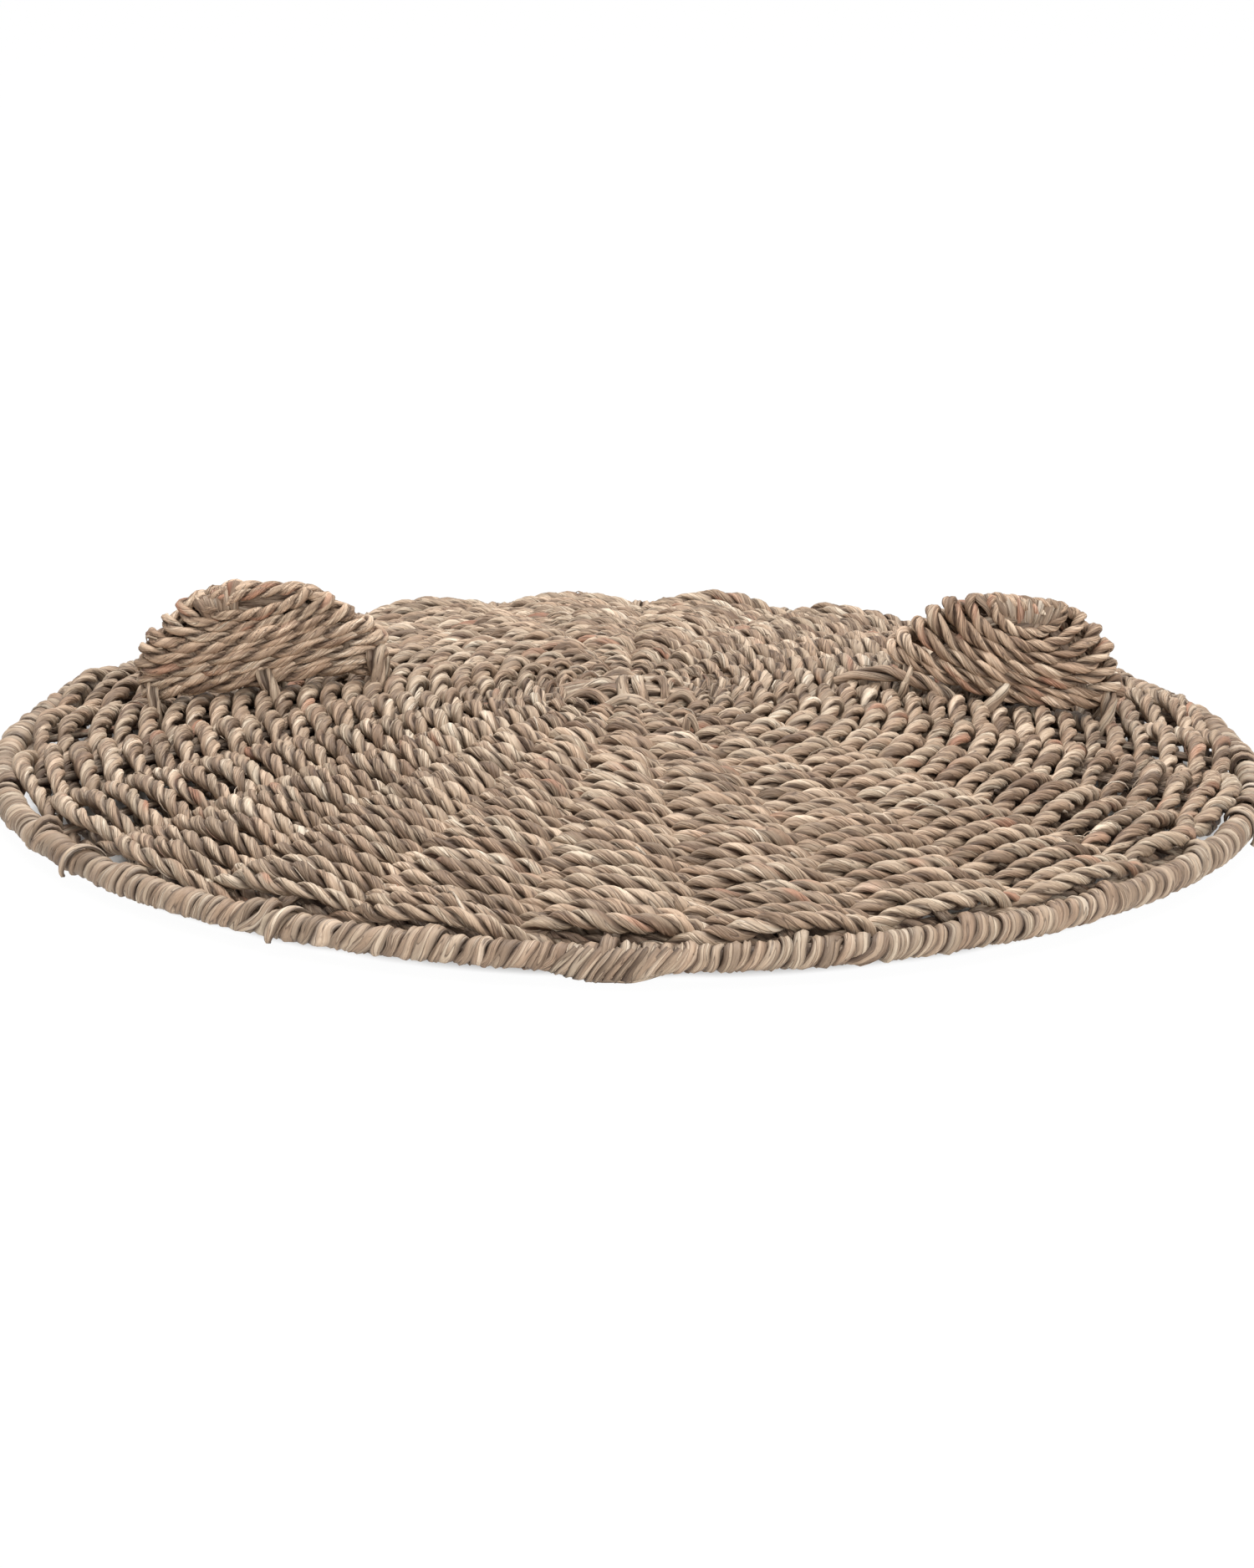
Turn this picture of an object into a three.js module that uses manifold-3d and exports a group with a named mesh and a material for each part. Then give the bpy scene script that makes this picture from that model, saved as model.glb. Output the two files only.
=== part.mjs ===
// A round woven seagrass lid with a wrapped wire rim and two standing woven ears.
// Frame: +Z up, -Y towards the front, origin under the middle of the lid at its lowest point.
// Lengths are in millimetres and angles in degrees unless a name says otherwise.
import * as THREE from 'three';
import { mergeVertices } from 'three/addons/utils/BufferGeometryUtils.js';
import Module from 'manifold-3d';

const wasm = await Module();
wasm.setup();

// Clearance between pieces that touch in the real lid
const GAP = 0.3;
// How far a cutter reaches past what it cuts
const OVERRUN = 2;

// Hoop: a wire bent to a circle whose two ends meet at the front
const HOOP_RADIUS = 195.8;
const WIRE_DIAMETER = 3.6;
const WIRE_END_GAP = 1.2;
const HOOP_JOIN_ANGLE = -90.8;

// Binding: flat strand wound round the hoop and the stake ends
const BINDING_THICKNESS = 2.1;
const WRAP_COUNT = 72;
const WRAP_DEPTH = 0.5;
const FOOT_CUT = 0.5;
const FOOT_ANGLES = { start: 245, end: 320 };

// Splice: a bundle of strand ends bound under the rim where the hoop ends meet
const SPLICE_LENGTH = 37;
const SPLICE_DEPTH = 3.4;
const SPLICE_WRAPS = 6;
const SPLICE_SEAT_ANGLES = [218, 257, 300, 326];
const SPLICE_HALF_WIDTH = 3.9;
const SPLICE_FOOT_HALF_WIDTH = 1.9;
const SPLICE_SHOULDER = 0.55;
const SPLICE_END_FULLNESS = 0.12;
const SPLICE_SWELL = 1.25;
const SPLICE_FACET_ALLOWANCE = 0.1;

// Stakes: the strands that run out from the middle to the hoop
const STAKE_COUNT = 23;
const STAKE_DIAMETER = 4.4;
const STAKE_SIDES = 6;
const STAKE_STEPS = 4;
const STAKE_TIP_HEIGHT = 2.4;
const STAKE_TIP_WIDTH = 3.6;
const STAKE_TAPER_LENGTH = 8;
const FIRST_STAKE_ANGLE = -91.3;

// Crown: the shallow dome of twisted rope woven over and under the stakes
const DOME_RISE = 24.5;
const DOME_POWER = 1.6;
const ROPE_OVER_STAKE = 3.1;
const WEAVE_HALF_THICKNESS = 3.4;
const COURSE_COUNT = 17;
const EDGE_HALF_THICKNESS = 4.2;
const EDGE_SAG = 1.6;
const EDGE_HOLE_SAG = 4.2;
const EDGE_SAG_POWER = 6;
const EDGE_HOLE_ANGLES = [-146, -120, -90, -28, 56, 150];

// Crossing: the middle, where the stakes lie over each other in three flat bundles
const CROSSING_RADIUS = 22;
const CROSSING_SIDES = 24;
const BUNDLE_COUNT = 3;
const BUNDLE_WIDTH = 18;
const BUNDLE_STRANDS = 4;
const BUNDLE_GROOVE = 0.42;
const BUNDLE_OVERLAP = 0.6;

// Ears: flattened woven pockets, each tied on with three stitches
const EAR_ROPE_DIAMETER = 5.4;
const EAR_SIDES = 16;
const EAR_COURSES = 6;
const EAR_COURSE_GROOVE = 1.1;
const EAR_CROWN_POWER = 0.85;
const EAR_FOOT_FLAT = 3.2;
const EAR_POLE_SHARE = 0.03;
const EAR_FOOT_GAP = 2.4;
const EAR_POLE_TILT = 62;
const STITCH_DIAMETER = 2.6;
const STITCH_HEIGHT = 8;
const STITCH_STEPS = 10;
const STITCH_INSET = 9;
const STITCH_CLEARANCE = 1.7;
const STITCH_SHOULDER = 0.8;
const STITCH_UPRIGHT = 1;
const EAR_ROCK = 12;
const EARS = {
  left: { x: -114.4, y: 17, width: 81, depth: 14, height: 34.5, poleX: -7, poleY: -2.2, poleDrop: 6.2 },
  right: { x: 117.3, y: 22, width: 80, depth: 22, height: 32, poleX: 7, poleY: -4, poleDrop: 7 },
};

// Tails: strand ends of the binding that are tucked up through the edge and hang over the rim
const TAIL_DIAMETER = 2.2;
const TAILS = { rim_tail_left: -146, rim_tail_front: -120, rim_tail_right: -17 };
const TAIL_LEAN = 2.4;
const TAIL_STEPS = 10;
// Points along a tail, out from the wire and up from it, as shares of its clear radius
const TAIL_PATH = [[-1.02, 0.5], [-0.45, 0.98], [0.35, 1.02], [0.95, 0.55], [1.1, -0.1], [1.12, -0.8]];

// Sizes that follow from the ones above
const WIRE_RADIUS = WIRE_DIAMETER / 2;
const BINDING_RADIUS = WIRE_RADIUS + GAP + BINDING_THICKNESS;
const RIM_UNDERSIDE = BINDING_RADIUS - FOOT_CUT;
const HOOP_HEIGHT = RIM_UNDERSIDE + GAP + SPLICE_DEPTH;
const STAKE_RADIUS = STAKE_DIAMETER / 2;
const TUNNEL_RADIUS = STAKE_RADIUS + GAP / Math.cos(Math.PI / STAKE_SIDES);
const RIDGE_HEIGHT = STAKE_RADIUS + GAP + ROPE_OVER_STAKE;
const STAKE_SPACING = 360 / STAKE_COUNT;
const CROWN_RADIUS = HOOP_RADIUS - BINDING_RADIUS - GAP;
const CROWN_HOLE_RADIUS = CROSSING_RADIUS + GAP;
const STAKE_OUTER_RADIUS = HOOP_RADIUS - WIRE_RADIUS - GAP;
const STAKE_INNER_RADIUS = CROWN_HOLE_RADIUS;
const ROPE_RADIUS = EAR_ROPE_DIAMETER / 2;
const STITCH_RADIUS = STITCH_DIAMETER / 2;
const TAIL_RADIUS = TAIL_DIAMETER / 2;
const STITCH_ANCHOR_DEPTH = ROPE_OVER_STAKE - 2 * GAP;

// Colours of dry seagrass and of plain steel wire
const SEAGRASS = new THREE.MeshStandardMaterial({ color: 0xb09a84, roughness: 0.85, metalness: 0 });
const SEAGRASS_STAKE = new THREE.MeshStandardMaterial({ color: 0xa08a72, roughness: 0.85, metalness: 0 });
const SEAGRASS_BINDING = new THREE.MeshStandardMaterial({ color: 0xb29c86, roughness: 0.8, metalness: 0 });
const SEAGRASS_EAR = new THREE.MeshStandardMaterial({ color: 0x98816c, roughness: 0.85, metalness: 0 });
const SEAGRASS_STRAND = new THREE.MeshStandardMaterial({ color: 0xa8927a, roughness: 0.8, metalness: 0 });
const STEEL_WIRE = new THREE.MeshStandardMaterial({ color: 0x7d7f82, roughness: 0.45, metalness: 1 });

const radians = THREE.MathUtils.degToRad;

// A point at a radius and a turn about the lid's axis, at a height
function polar(radius, degrees, height) {
  const angle = radians(degrees);
  return new THREE.Vector3(radius * Math.cos(angle), radius * Math.sin(angle), height);
}

// Height of the middle of the weave at a distance from the axis
function domeHeight(radius) {
  return HOOP_HEIGHT + DOME_RISE * (1 - (Math.min(radius, HOOP_RADIUS) / HOOP_RADIUS) ** DOME_POWER);
}

// Downward slope of the dome at a distance from the axis, in degrees
function domeSlope(radius) {
  const share = (radius / HOOP_RADIUS) ** (DOME_POWER - 1);
  return THREE.MathUtils.radToDeg(Math.atan((DOME_RISE * DOME_POWER * share) / HOOP_RADIUS));
}

// Volume inside a triangle list, positive where its faces point out
function signedVolume(points, triangles) {
  let volume = 0;
  for (const [a, b, c] of triangles) {
    volume += points[a].dot(new THREE.Vector3().crossVectors(points[b], points[c]));
  }
  return volume / 6;
}

// A closed surface through rings of points: capped at both ends, or joined to itself when looped
function loft(rings, looped = false) {
  const count = rings[0].length;
  const points = rings.flat();
  const triangles = [];
  const last = looped ? rings.length : rings.length - 1;
  for (let i = 0; i < last; i += 1) {
    const near = i * count;
    const far = ((i + 1) % rings.length) * count;
    for (let j = 0; j < count; j += 1) {
      const next = (j + 1) % count;
      triangles.push([near + j, near + next, far + next]);
      triangles.push([near + j, far + next, far + j]);
    }
  }
  if (!looped) {
    for (const [start, turned] of [[0, true], [(rings.length - 1) * count, false]]) {
      const middle = points.length;
      const centre = new THREE.Vector3();
      for (let j = 0; j < count; j += 1) centre.add(points[start + j]);
      points.push(centre.divideScalar(count));
      for (let j = 0; j < count; j += 1) {
        const next = (j + 1) % count;
        triangles.push(turned ? [middle, start + next, start + j] : [middle, start + j, start + next]);
      }
    }
  }
  const facing = signedVolume(points, triangles) > 0 ? triangles : triangles.map(([a, b, c]) => [a, c, b]);
  const geometry = new THREE.BufferGeometry().setFromPoints(points);
  geometry.setIndex(facing.flat());
  geometry.computeVertexNormals();
  return geometry;
}

function toSolid(geometry) {
  const bare = geometry.clone();
  bare.deleteAttribute('normal');
  bare.deleteAttribute('uv');
  const merged = mergeVertices(bare, 1e-4);
  const vertProperties = new Float32Array(merged.attributes.position.array);
  const triVerts = new Uint32Array(merged.index.array);
  return new wasm.Manifold(new wasm.Mesh({ numProp: 3, vertProperties, triVerts }));
}

function toGeometry(solid) {
  const mesh = solid.getMesh();
  const geometry = new THREE.BufferGeometry();
  geometry.setAttribute('position', new THREE.BufferAttribute(mesh.vertProperties, 3));
  geometry.setIndex(new THREE.BufferAttribute(mesh.triVerts, 1));
  geometry.computeVertexNormals();
  return geometry;
}

function piece(name, geometry, material) {
  const mesh = new THREE.Mesh(geometry, material);
  mesh.name = name;
  return mesh;
}

// A regular outline for round strands and wire
function roundOutline(radius, sides) {
  const shape = new THREE.Shape();
  for (let k = 0; k < sides; k += 1) {
    const angle = (2 * Math.PI * k) / sides;
    const x = radius * Math.cos(angle);
    const y = radius * Math.sin(angle);
    if (k === 0) shape.moveTo(x, y);
    else shape.lineTo(x, y);
  }
  shape.closePath();
  return shape;
}

function strandAlong(curve, radius, steps, sides = 6) {
  const options = { steps, bevelEnabled: false, extrudePath: curve };
  return new THREE.ExtrudeGeometry(roundOutline(radius, sides), options);
}

// Hoop
class HoopCurve extends THREE.Curve {
  getPoint(t, target = new THREE.Vector3()) {
    const halfGap = THREE.MathUtils.radToDeg(WIRE_END_GAP / 2 / HOOP_RADIUS);
    const degrees = HOOP_JOIN_ANGLE + halfGap + t * (360 - 2 * halfGap);
    return target.copy(polar(HOOP_RADIUS, degrees, HOOP_HEIGHT));
  }
}

function hoopWire() {
  return strandAlong(new HoopCurve(), WIRE_RADIUS, WRAP_COUNT);
}

// Rim binding: its section is measured from the wire, with angle 0 towards the middle and 90 up
const LIP_ANGLE = 22.5;
const OUTER_STEPS = 8;
const BORE_LIP_ANGLE = 50;
const BORE_STEPS = 4;
const BORE_RADIUS = (WIRE_RADIUS + GAP) / Math.cos(radians((360 - 2 * BORE_LIP_ANGLE) / BORE_STEPS / 2));

// One point of the section, out from the wire (across) and up from it (rise)
function sectionPoint(radius, degrees, floor = Infinity) {
  const across = -radius * Math.cos(radians(degrees));
  const rise = Math.max(radius * Math.sin(radians(degrees)), -floor);
  return { across, rise, degrees };
}

function outerSection(radius) {
  const step = (360 - 2 * LIP_ANGLE) / OUTER_STEPS;
  const points = [];
  for (let j = 0; j <= OUTER_STEPS; j += 1) {
    const degrees = LIP_ANGLE + j * step;
    const underneath = degrees > FOOT_ANGLES.start && degrees < FOOT_ANGLES.end;
    points.push(sectionPoint(underneath ? BINDING_RADIUS : radius, degrees, RIM_UNDERSIDE));
  }
  return points;
}

function boreSection() {
  const step = (360 - 2 * BORE_LIP_ANGLE) / BORE_STEPS;
  const points = [];
  for (let j = BORE_STEPS; j >= 0; j -= 1) points.push(sectionPoint(BORE_RADIUS, BORE_LIP_ANGLE + j * step));
  return points;
}

function rimBinding() {
  const pitch = 360 / WRAP_COUNT;
  const rings = [];
  for (let i = 0; i < 2 * WRAP_COUNT; i += 1) {
    const crest = i % 2 === 0;
    const outer = outerSection(crest ? BINDING_RADIUS : BINDING_RADIUS - WRAP_DEPTH);
    const ring = [...outer, ...boreSection()].map(({ across, rise, degrees }) => {
      const slant = ((degrees - 180) / 360) * pitch;
      return polar(HOOP_RADIUS + across, (i * pitch) / 2 + slant, HOOP_HEIGHT + rise);
    });
    rings.push(ring);
  }
  return loft(rings, true);
}

// Splice: a crescent that hugs the underside of the binding and tapers at both ends
function spliceRing(degrees, fullness, wrapped) {
  const upper = BINDING_RADIUS + GAP + SPLICE_FACET_ALLOWANCE;
  const under = RIM_UNDERSIDE + GAP;
  const seat = SPLICE_SEAT_ANGLES.map((angle) => sectionPoint(upper, angle, under));
  const skin = wrapped ? 0 : WRAP_DEPTH;
  const lowest = -under - (SPLICE_DEPTH - skin) * fullness;
  const brim = seat[seat.length - 1].rise;
  const shoulder = brim + (lowest - brim) * SPLICE_SHOULDER;
  const outer = [
    { across: skin - SPLICE_HALF_WIDTH, rise: shoulder },
    { across: -SPLICE_FOOT_HALF_WIDTH, rise: lowest },
    { across: SPLICE_FOOT_HALF_WIDTH, rise: lowest },
    { across: SPLICE_HALF_WIDTH - skin, rise: shoulder },
  ];
  const section = [...seat, ...outer];
  return section.map(({ across, rise }) => polar(HOOP_RADIUS + across, degrees, HOOP_HEIGHT + rise));
}

function rimSplice() {
  const halfAngle = THREE.MathUtils.radToDeg(SPLICE_LENGTH / 2 / HOOP_RADIUS);
  const steps = 2 * SPLICE_WRAPS;
  const rings = [];
  for (let i = 0; i <= steps; i += 1) {
    const share = (2 * i) / steps - 1;
    const fullness = THREE.MathUtils.clamp(SPLICE_SWELL * (1 - share * share), SPLICE_END_FULLNESS, 1);
    rings.push(spliceRing(HOOP_JOIN_ANGLE + share * halfAngle, fullness, i % 2 === 0));
  }
  return loft(rings);
}

// Stakes
function stakeAngle(index) {
  return FIRST_STAKE_ANGLE + index * STAKE_SPACING;
}

// Height of a stake's centre: it follows the dome, then drops to the hoop as it leaves the weave
function stakeHeight(radius) {
  return radius < CROWN_RADIUS ? domeHeight(radius) : HOOP_HEIGHT;
}

// Ring round a stake or its tunnel, flat sides up, at a distance from the lid's axis
function stakeRing(radius, degrees, halfWidth, halfHeight) {
  const along = radians(degrees);
  const side = new THREE.Vector3(-Math.sin(along), Math.cos(along), 0);
  const ring = [];
  for (let k = 0; k < STAKE_SIDES; k += 1) {
    const turn = (2 * Math.PI * (k + 0.5)) / STAKE_SIDES;
    const point = polar(radius, degrees, stakeHeight(radius) + halfHeight * Math.sin(turn));
    ring.push(point.addScaledVector(side, halfWidth * Math.cos(turn)));
  }
  return ring;
}

function stakeStations(inner, outer) {
  return Array.from({ length: STAKE_STEPS + 1 }, (_, i) => inner + ((outer - inner) * i) / STAKE_STEPS);
}

function stake(index) {
  const taperStart = CROWN_RADIUS - STAKE_TAPER_LENGTH;
  const rings = stakeStations(STAKE_INNER_RADIUS, taperStart).map((radius) => (
    stakeRing(radius, stakeAngle(index), STAKE_RADIUS, STAKE_RADIUS)
  ));
  rings.push(stakeRing(CROWN_RADIUS, stakeAngle(index), STAKE_RADIUS, STAKE_TIP_HEIGHT / 2));
  rings.push(stakeRing(STAKE_OUTER_RADIUS, stakeAngle(index), STAKE_TIP_WIDTH / 2, STAKE_TIP_HEIGHT / 2));
  return loft(rings);
}

function stakeTunnel(index) {
  const stations = stakeStations(STAKE_INNER_RADIUS, CROWN_RADIUS - STAKE_TAPER_LENGTH);
  stations[0] = CROWN_HOLE_RADIUS - OVERRUN;
  stations.push(CROWN_RADIUS + OVERRUN);
  const rings = stations.map((radius) => stakeRing(radius, stakeAngle(index), TUNNEL_RADIUS, TUNNEL_RADIUS));
  return loft(rings);
}

// Crown: how far the last course hangs back from the rim between two stakes
function edgeSag(degrees, onStake) {
  if (onStake) return 0;
  const near = EDGE_HOLE_ANGLES.some((hole) => Math.abs(hole - degrees) < STAKE_SPACING / 2);
  return near ? EDGE_HOLE_SAG : EDGE_SAG;
}

// Half the weave's thickness: a course swells where it passes over a stake on that face
function courseHeight(course, column, face) {
  if (course === COURSE_COUNT) return EDGE_HALF_THICKNESS;
  if (column % 2 === 1) return WEAVE_HALF_THICKNESS;
  const over = (course + column / 2) % 2 === 0;
  return over === (face > 0) ? RIDGE_HEIGHT : WEAVE_HALF_THICKNESS;
}

// One course on one face, with a column of points on each stake and one between
function crownRing(course, face) {
  const share = course / COURSE_COUNT;
  const ring = [];
  for (let column = 0; column < 2 * STAKE_COUNT; column += 1) {
    const degrees = stakeAngle(column / 2);
    const turned = THREE.MathUtils.euclideanModulo(degrees + 180, 360) - 180;
    const edge = CROWN_RADIUS - edgeSag(turned, column % 2 === 0) * share ** EDGE_SAG_POWER;
    const radius = CROWN_HOLE_RADIUS + (edge - CROWN_HOLE_RADIUS) * share;
    ring.push(polar(radius, degrees, domeHeight(radius) + face * courseHeight(course, column, face)));
  }
  return ring;
}

function crownBody() {
  const rings = [];
  for (let course = 0; course <= COURSE_COUNT; course += 1) rings.push(crownRing(course, 1));
  for (let course = COURSE_COUNT; course >= 0; course -= 1) rings.push(crownRing(course, -1));
  return loft(rings, true);
}

// Crossing: three flat bundles of stakes laid over each other and trimmed to a round
function bundleOutline(thickness) {
  const strand = BUNDLE_WIDTH / BUNDLE_STRANDS;
  const shape = new THREE.Shape();
  const dip = thickness * BUNDLE_GROOVE;
  shape.moveTo(-BUNDLE_WIDTH / 2, 0);
  for (let k = 0; k < BUNDLE_STRANDS; k += 1) {
    const left = -BUNDLE_WIDTH / 2 + k * strand;
    shape.lineTo(left + strand / 2, thickness / 2);
    shape.lineTo(left + strand, k === BUNDLE_STRANDS - 1 ? 0 : dip);
  }
  for (let k = BUNDLE_STRANDS - 1; k >= 0; k -= 1) {
    const left = -BUNDLE_WIDTH / 2 + k * strand;
    shape.lineTo(left + strand / 2, -thickness / 2);
    if (k > 0) shape.lineTo(left, -dip);
  }
  shape.closePath();
  return shape;
}

function centreCrossing() {
  const total = 2 * RIDGE_HEIGHT;
  const thickness = total / BUNDLE_COUNT + BUNDLE_OVERLAP;
  const pitch = (total - thickness) / (BUNDLE_COUNT - 1);
  let solid = null;
  for (let k = 0; k < BUNDLE_COUNT; k += 1) {
    const bundle = new THREE.ExtrudeGeometry(bundleOutline(thickness), {
      depth: 2 * (CROSSING_RADIUS + OVERRUN),
      bevelEnabled: false,
    });
    bundle.translate(0, 0, -CROSSING_RADIUS - OVERRUN);
    bundle.rotateX(Math.PI / 2);
    bundle.rotateZ(radians(FIRST_STAKE_ANGLE + (k * 180) / BUNDLE_COUNT));
    bundle.translate(0, 0, domeHeight(0) - total / 2 + thickness / 2 + k * pitch);
    solid = solid ? solid.add(toSolid(bundle)) : toSolid(bundle);
  }
  const round = new THREE.CylinderGeometry(CROSSING_RADIUS, CROSSING_RADIUS, 2 * total, CROSSING_SIDES);
  round.rotateX(Math.PI / 2);
  round.translate(0, 0, domeHeight(0));
  return toGeometry(solid.intersect(toSolid(round)));
}

// Ears: courses are rings round a pole near the top, tilted forwards at the pole and level at the foot
function earRing(ear, share, swell) {
  const quarter = (share * Math.PI) / 2;
  const tilt = radians(EAR_POLE_TILT) * (1 - share);
  const halfWidth = (ear.width / 2 - ROPE_RADIUS) * Math.sin(quarter);
  const spread = ear.depth / 2 - ROPE_RADIUS;
  const halfDepth = spread * (1 - Math.exp(-halfWidth / spread));
  const poleHeight = ear.height - ear.poleDrop;
  const open = Math.cos(quarter);
  const fade = Math.sin(quarter);
  const centre = new THREE.Vector3(
    ear.poleX * open,
    ear.poleY * open - Math.sin(tilt) * swell * open,
    ROPE_RADIUS + (poleHeight - ROPE_RADIUS) * open ** EAR_CROWN_POWER + Math.cos(tilt) * swell * open,
  );
  const ring = [];
  for (let k = 0; k < EAR_SIDES; k += 1) {
    const turn = (2 * Math.PI * k) / EAR_SIDES;
    const back = (halfDepth + swell * fade) * Math.sin(turn);
    const point = new THREE.Vector3(
      (halfWidth + swell * fade) * Math.cos(turn),
      back * Math.cos(tilt),
      back * Math.sin(tilt),
    );
    ring.push(point.add(centre));
  }
  return ring;
}

function earShell(ear) {
  const rings = [];
  const steps = 2 * EAR_COURSES;
  rings.push(earRing(ear, EAR_POLE_SHARE, ROPE_RADIUS));
  for (let i = 1; i <= steps; i += 1) {
    rings.push(earRing(ear, i / steps, i % 2 === 0 ? ROPE_RADIUS : ROPE_RADIUS - EAR_COURSE_GROOVE));
  }
  for (const swell of [EAR_FOOT_FLAT / 2, -EAR_FOOT_FLAT / 2]) {
    rings.push(earRing(ear, 1, swell).map((point) => point.setZ(0)));
  }
  for (let i = EAR_COURSES - 1; i >= 1; i -= 1) rings.push(earRing(ear, i / (EAR_COURSES - 1), -ROPE_RADIUS));
  rings.push(earRing(ear, 3 * EAR_POLE_SHARE, -ROPE_RADIUS));
  return loft(rings);
}

// Stitch: a strand that goes up through the crown in front of the foot, across the ear and down behind it
function stitchCurve(ear, x) {
  const top = ear.depth / 2 + STITCH_RADIUS + STITCH_CLEARANCE;
  const foot = top + STITCH_HEIGHT * Math.tan(radians(EAR_ROCK));
  const front = [
    [-foot, -EAR_FOOT_GAP - STITCH_ANCHOR_DEPTH],
    [-foot, -EAR_FOOT_GAP + STITCH_UPRIGHT],
    [-top, STITCH_HEIGHT * STITCH_SHOULDER],
    [-top * STITCH_SHOULDER, STITCH_HEIGHT],
  ];
  const back = front.map(([y, z]) => [-y, z]).reverse();
  const points = [...front, [0, STITCH_HEIGHT], ...back].map(([y, z]) => new THREE.Vector3(x, y, z));
  return new THREE.CatmullRomCurve3(points, false, 'centripetal');
}

function stitchPlaces(ear) {
  const reach = ear.width / 2 - STITCH_INSET;
  return { west: -reach, middle: 0, east: reach };
}

// The slot that a stitch needs while the ear rocks: narrow at the axis, taller at both faces
function stitchSlot(ear, x) {
  const reach = ear.depth / 2 + OVERRUN;
  const waist = STITCH_RADIUS + GAP;
  const mouth = waist + reach * Math.tan(radians(EAR_ROCK));
  const shape = new THREE.Shape();
  shape.moveTo(-reach, -mouth);
  shape.lineTo(0, -waist);
  shape.lineTo(reach, -mouth);
  shape.lineTo(reach, mouth);
  shape.lineTo(0, waist);
  shape.lineTo(-reach, mouth);
  shape.closePath();
  const width = 2 * waist;
  const slot = new THREE.ExtrudeGeometry(shape, { depth: width, bevelEnabled: false });
  slot.rotateX(Math.PI / 2);
  slot.rotateZ(Math.PI / 2);
  slot.translate(x - width / 2, 0, STITCH_HEIGHT);
  return slot;
}

// Where an ear stands: its foot lies along the dome's slope, clear of the stake ridges
function earPlace(ear) {
  const radius = Math.hypot(ear.x, ear.y);
  const place = new THREE.Group();
  place.position.set(ear.x, ear.y, domeHeight(radius) + RIDGE_HEIGHT + EAR_FOOT_GAP);
  place.rotation.y = radians(domeSlope(radius)) * Math.sign(ear.x);
  place.updateMatrixWorld(true);
  return place;
}

function addEar(root, side, cutters) {
  const ear = EARS[side];
  const place = earPlace(ear);
  let shell = toSolid(earShell(ear));
  for (const [spot, x] of Object.entries(stitchPlaces(ear))) {
    shell = shell.subtract(toSolid(stitchSlot(ear, x)));
    const stitch = strandAlong(stitchCurve(ear, x), STITCH_RADIUS, STITCH_STEPS);
    place.add(piece(`ear_${side}_stitch_${spot}`, stitch, SEAGRASS_STRAND));
    const hole = strandAlong(stitchCurve(ear, x), STITCH_RADIUS + GAP, STITCH_STEPS);
    cutters.push(toSolid(hole.applyMatrix4(place.matrixWorld)));
  }
  place.add(piece(`ear_${side}`, toGeometry(shell), SEAGRASS_EAR));
  root.add(place);
}

// Tails: each starts in the edge of the weave, lies over the binding and hangs down its outside
function tailCurve(degrees) {
  const clear = BINDING_RADIUS + GAP + TAIL_RADIUS;
  const lean = TAIL_LEAN / (TAIL_PATH.length - 1);
  const points = TAIL_PATH.map(([across, rise], i) => (
    polar(HOOP_RADIUS + across * clear, degrees + i * lean, HOOP_HEIGHT + rise * clear)
  ));
  return new THREE.CatmullRomCurve3(points, false, 'centripetal');
}

function build() {
  const root = new THREE.Group();
  root.add(piece('hoop_wire', hoopWire(), STEEL_WIRE));
  root.add(piece('rim_binding', rimBinding(), SEAGRASS_BINDING));
  root.add(piece('rim_splice', rimSplice(), SEAGRASS_BINDING));
  root.add(piece('centre_crossing', centreCrossing(), SEAGRASS_STAKE));
  const cutters = [];
  for (let index = 0; index < STAKE_COUNT; index += 1) {
    const name = `stake_${String(index + 1).padStart(2, '0')}`;
    root.add(piece(name, stake(index), SEAGRASS_STAKE));
    cutters.push(toSolid(stakeTunnel(index)));
  }
  addEar(root, 'left', cutters);
  addEar(root, 'right', cutters);
  for (const [name, degrees] of Object.entries(TAILS)) {
    const tail = tailCurve(degrees);
    root.add(piece(name, strandAlong(tail, TAIL_RADIUS, TAIL_STEPS), SEAGRASS_STRAND));
    cutters.push(toSolid(strandAlong(tail, TAIL_RADIUS + GAP, TAIL_STEPS)));
  }
  let crown = toSolid(crownBody());
  for (const cutter of cutters) crown = crown.subtract(cutter);
  root.add(piece('woven_crown', toGeometry(crown), SEAGRASS));
  return root;
}

export default build();
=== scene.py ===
"""Looks of a round woven seagrass lid with a wrapped rim and two standing woven ears."""

import math

import bpy
import numpy as np
from mathutils import Matrix, Vector


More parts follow.
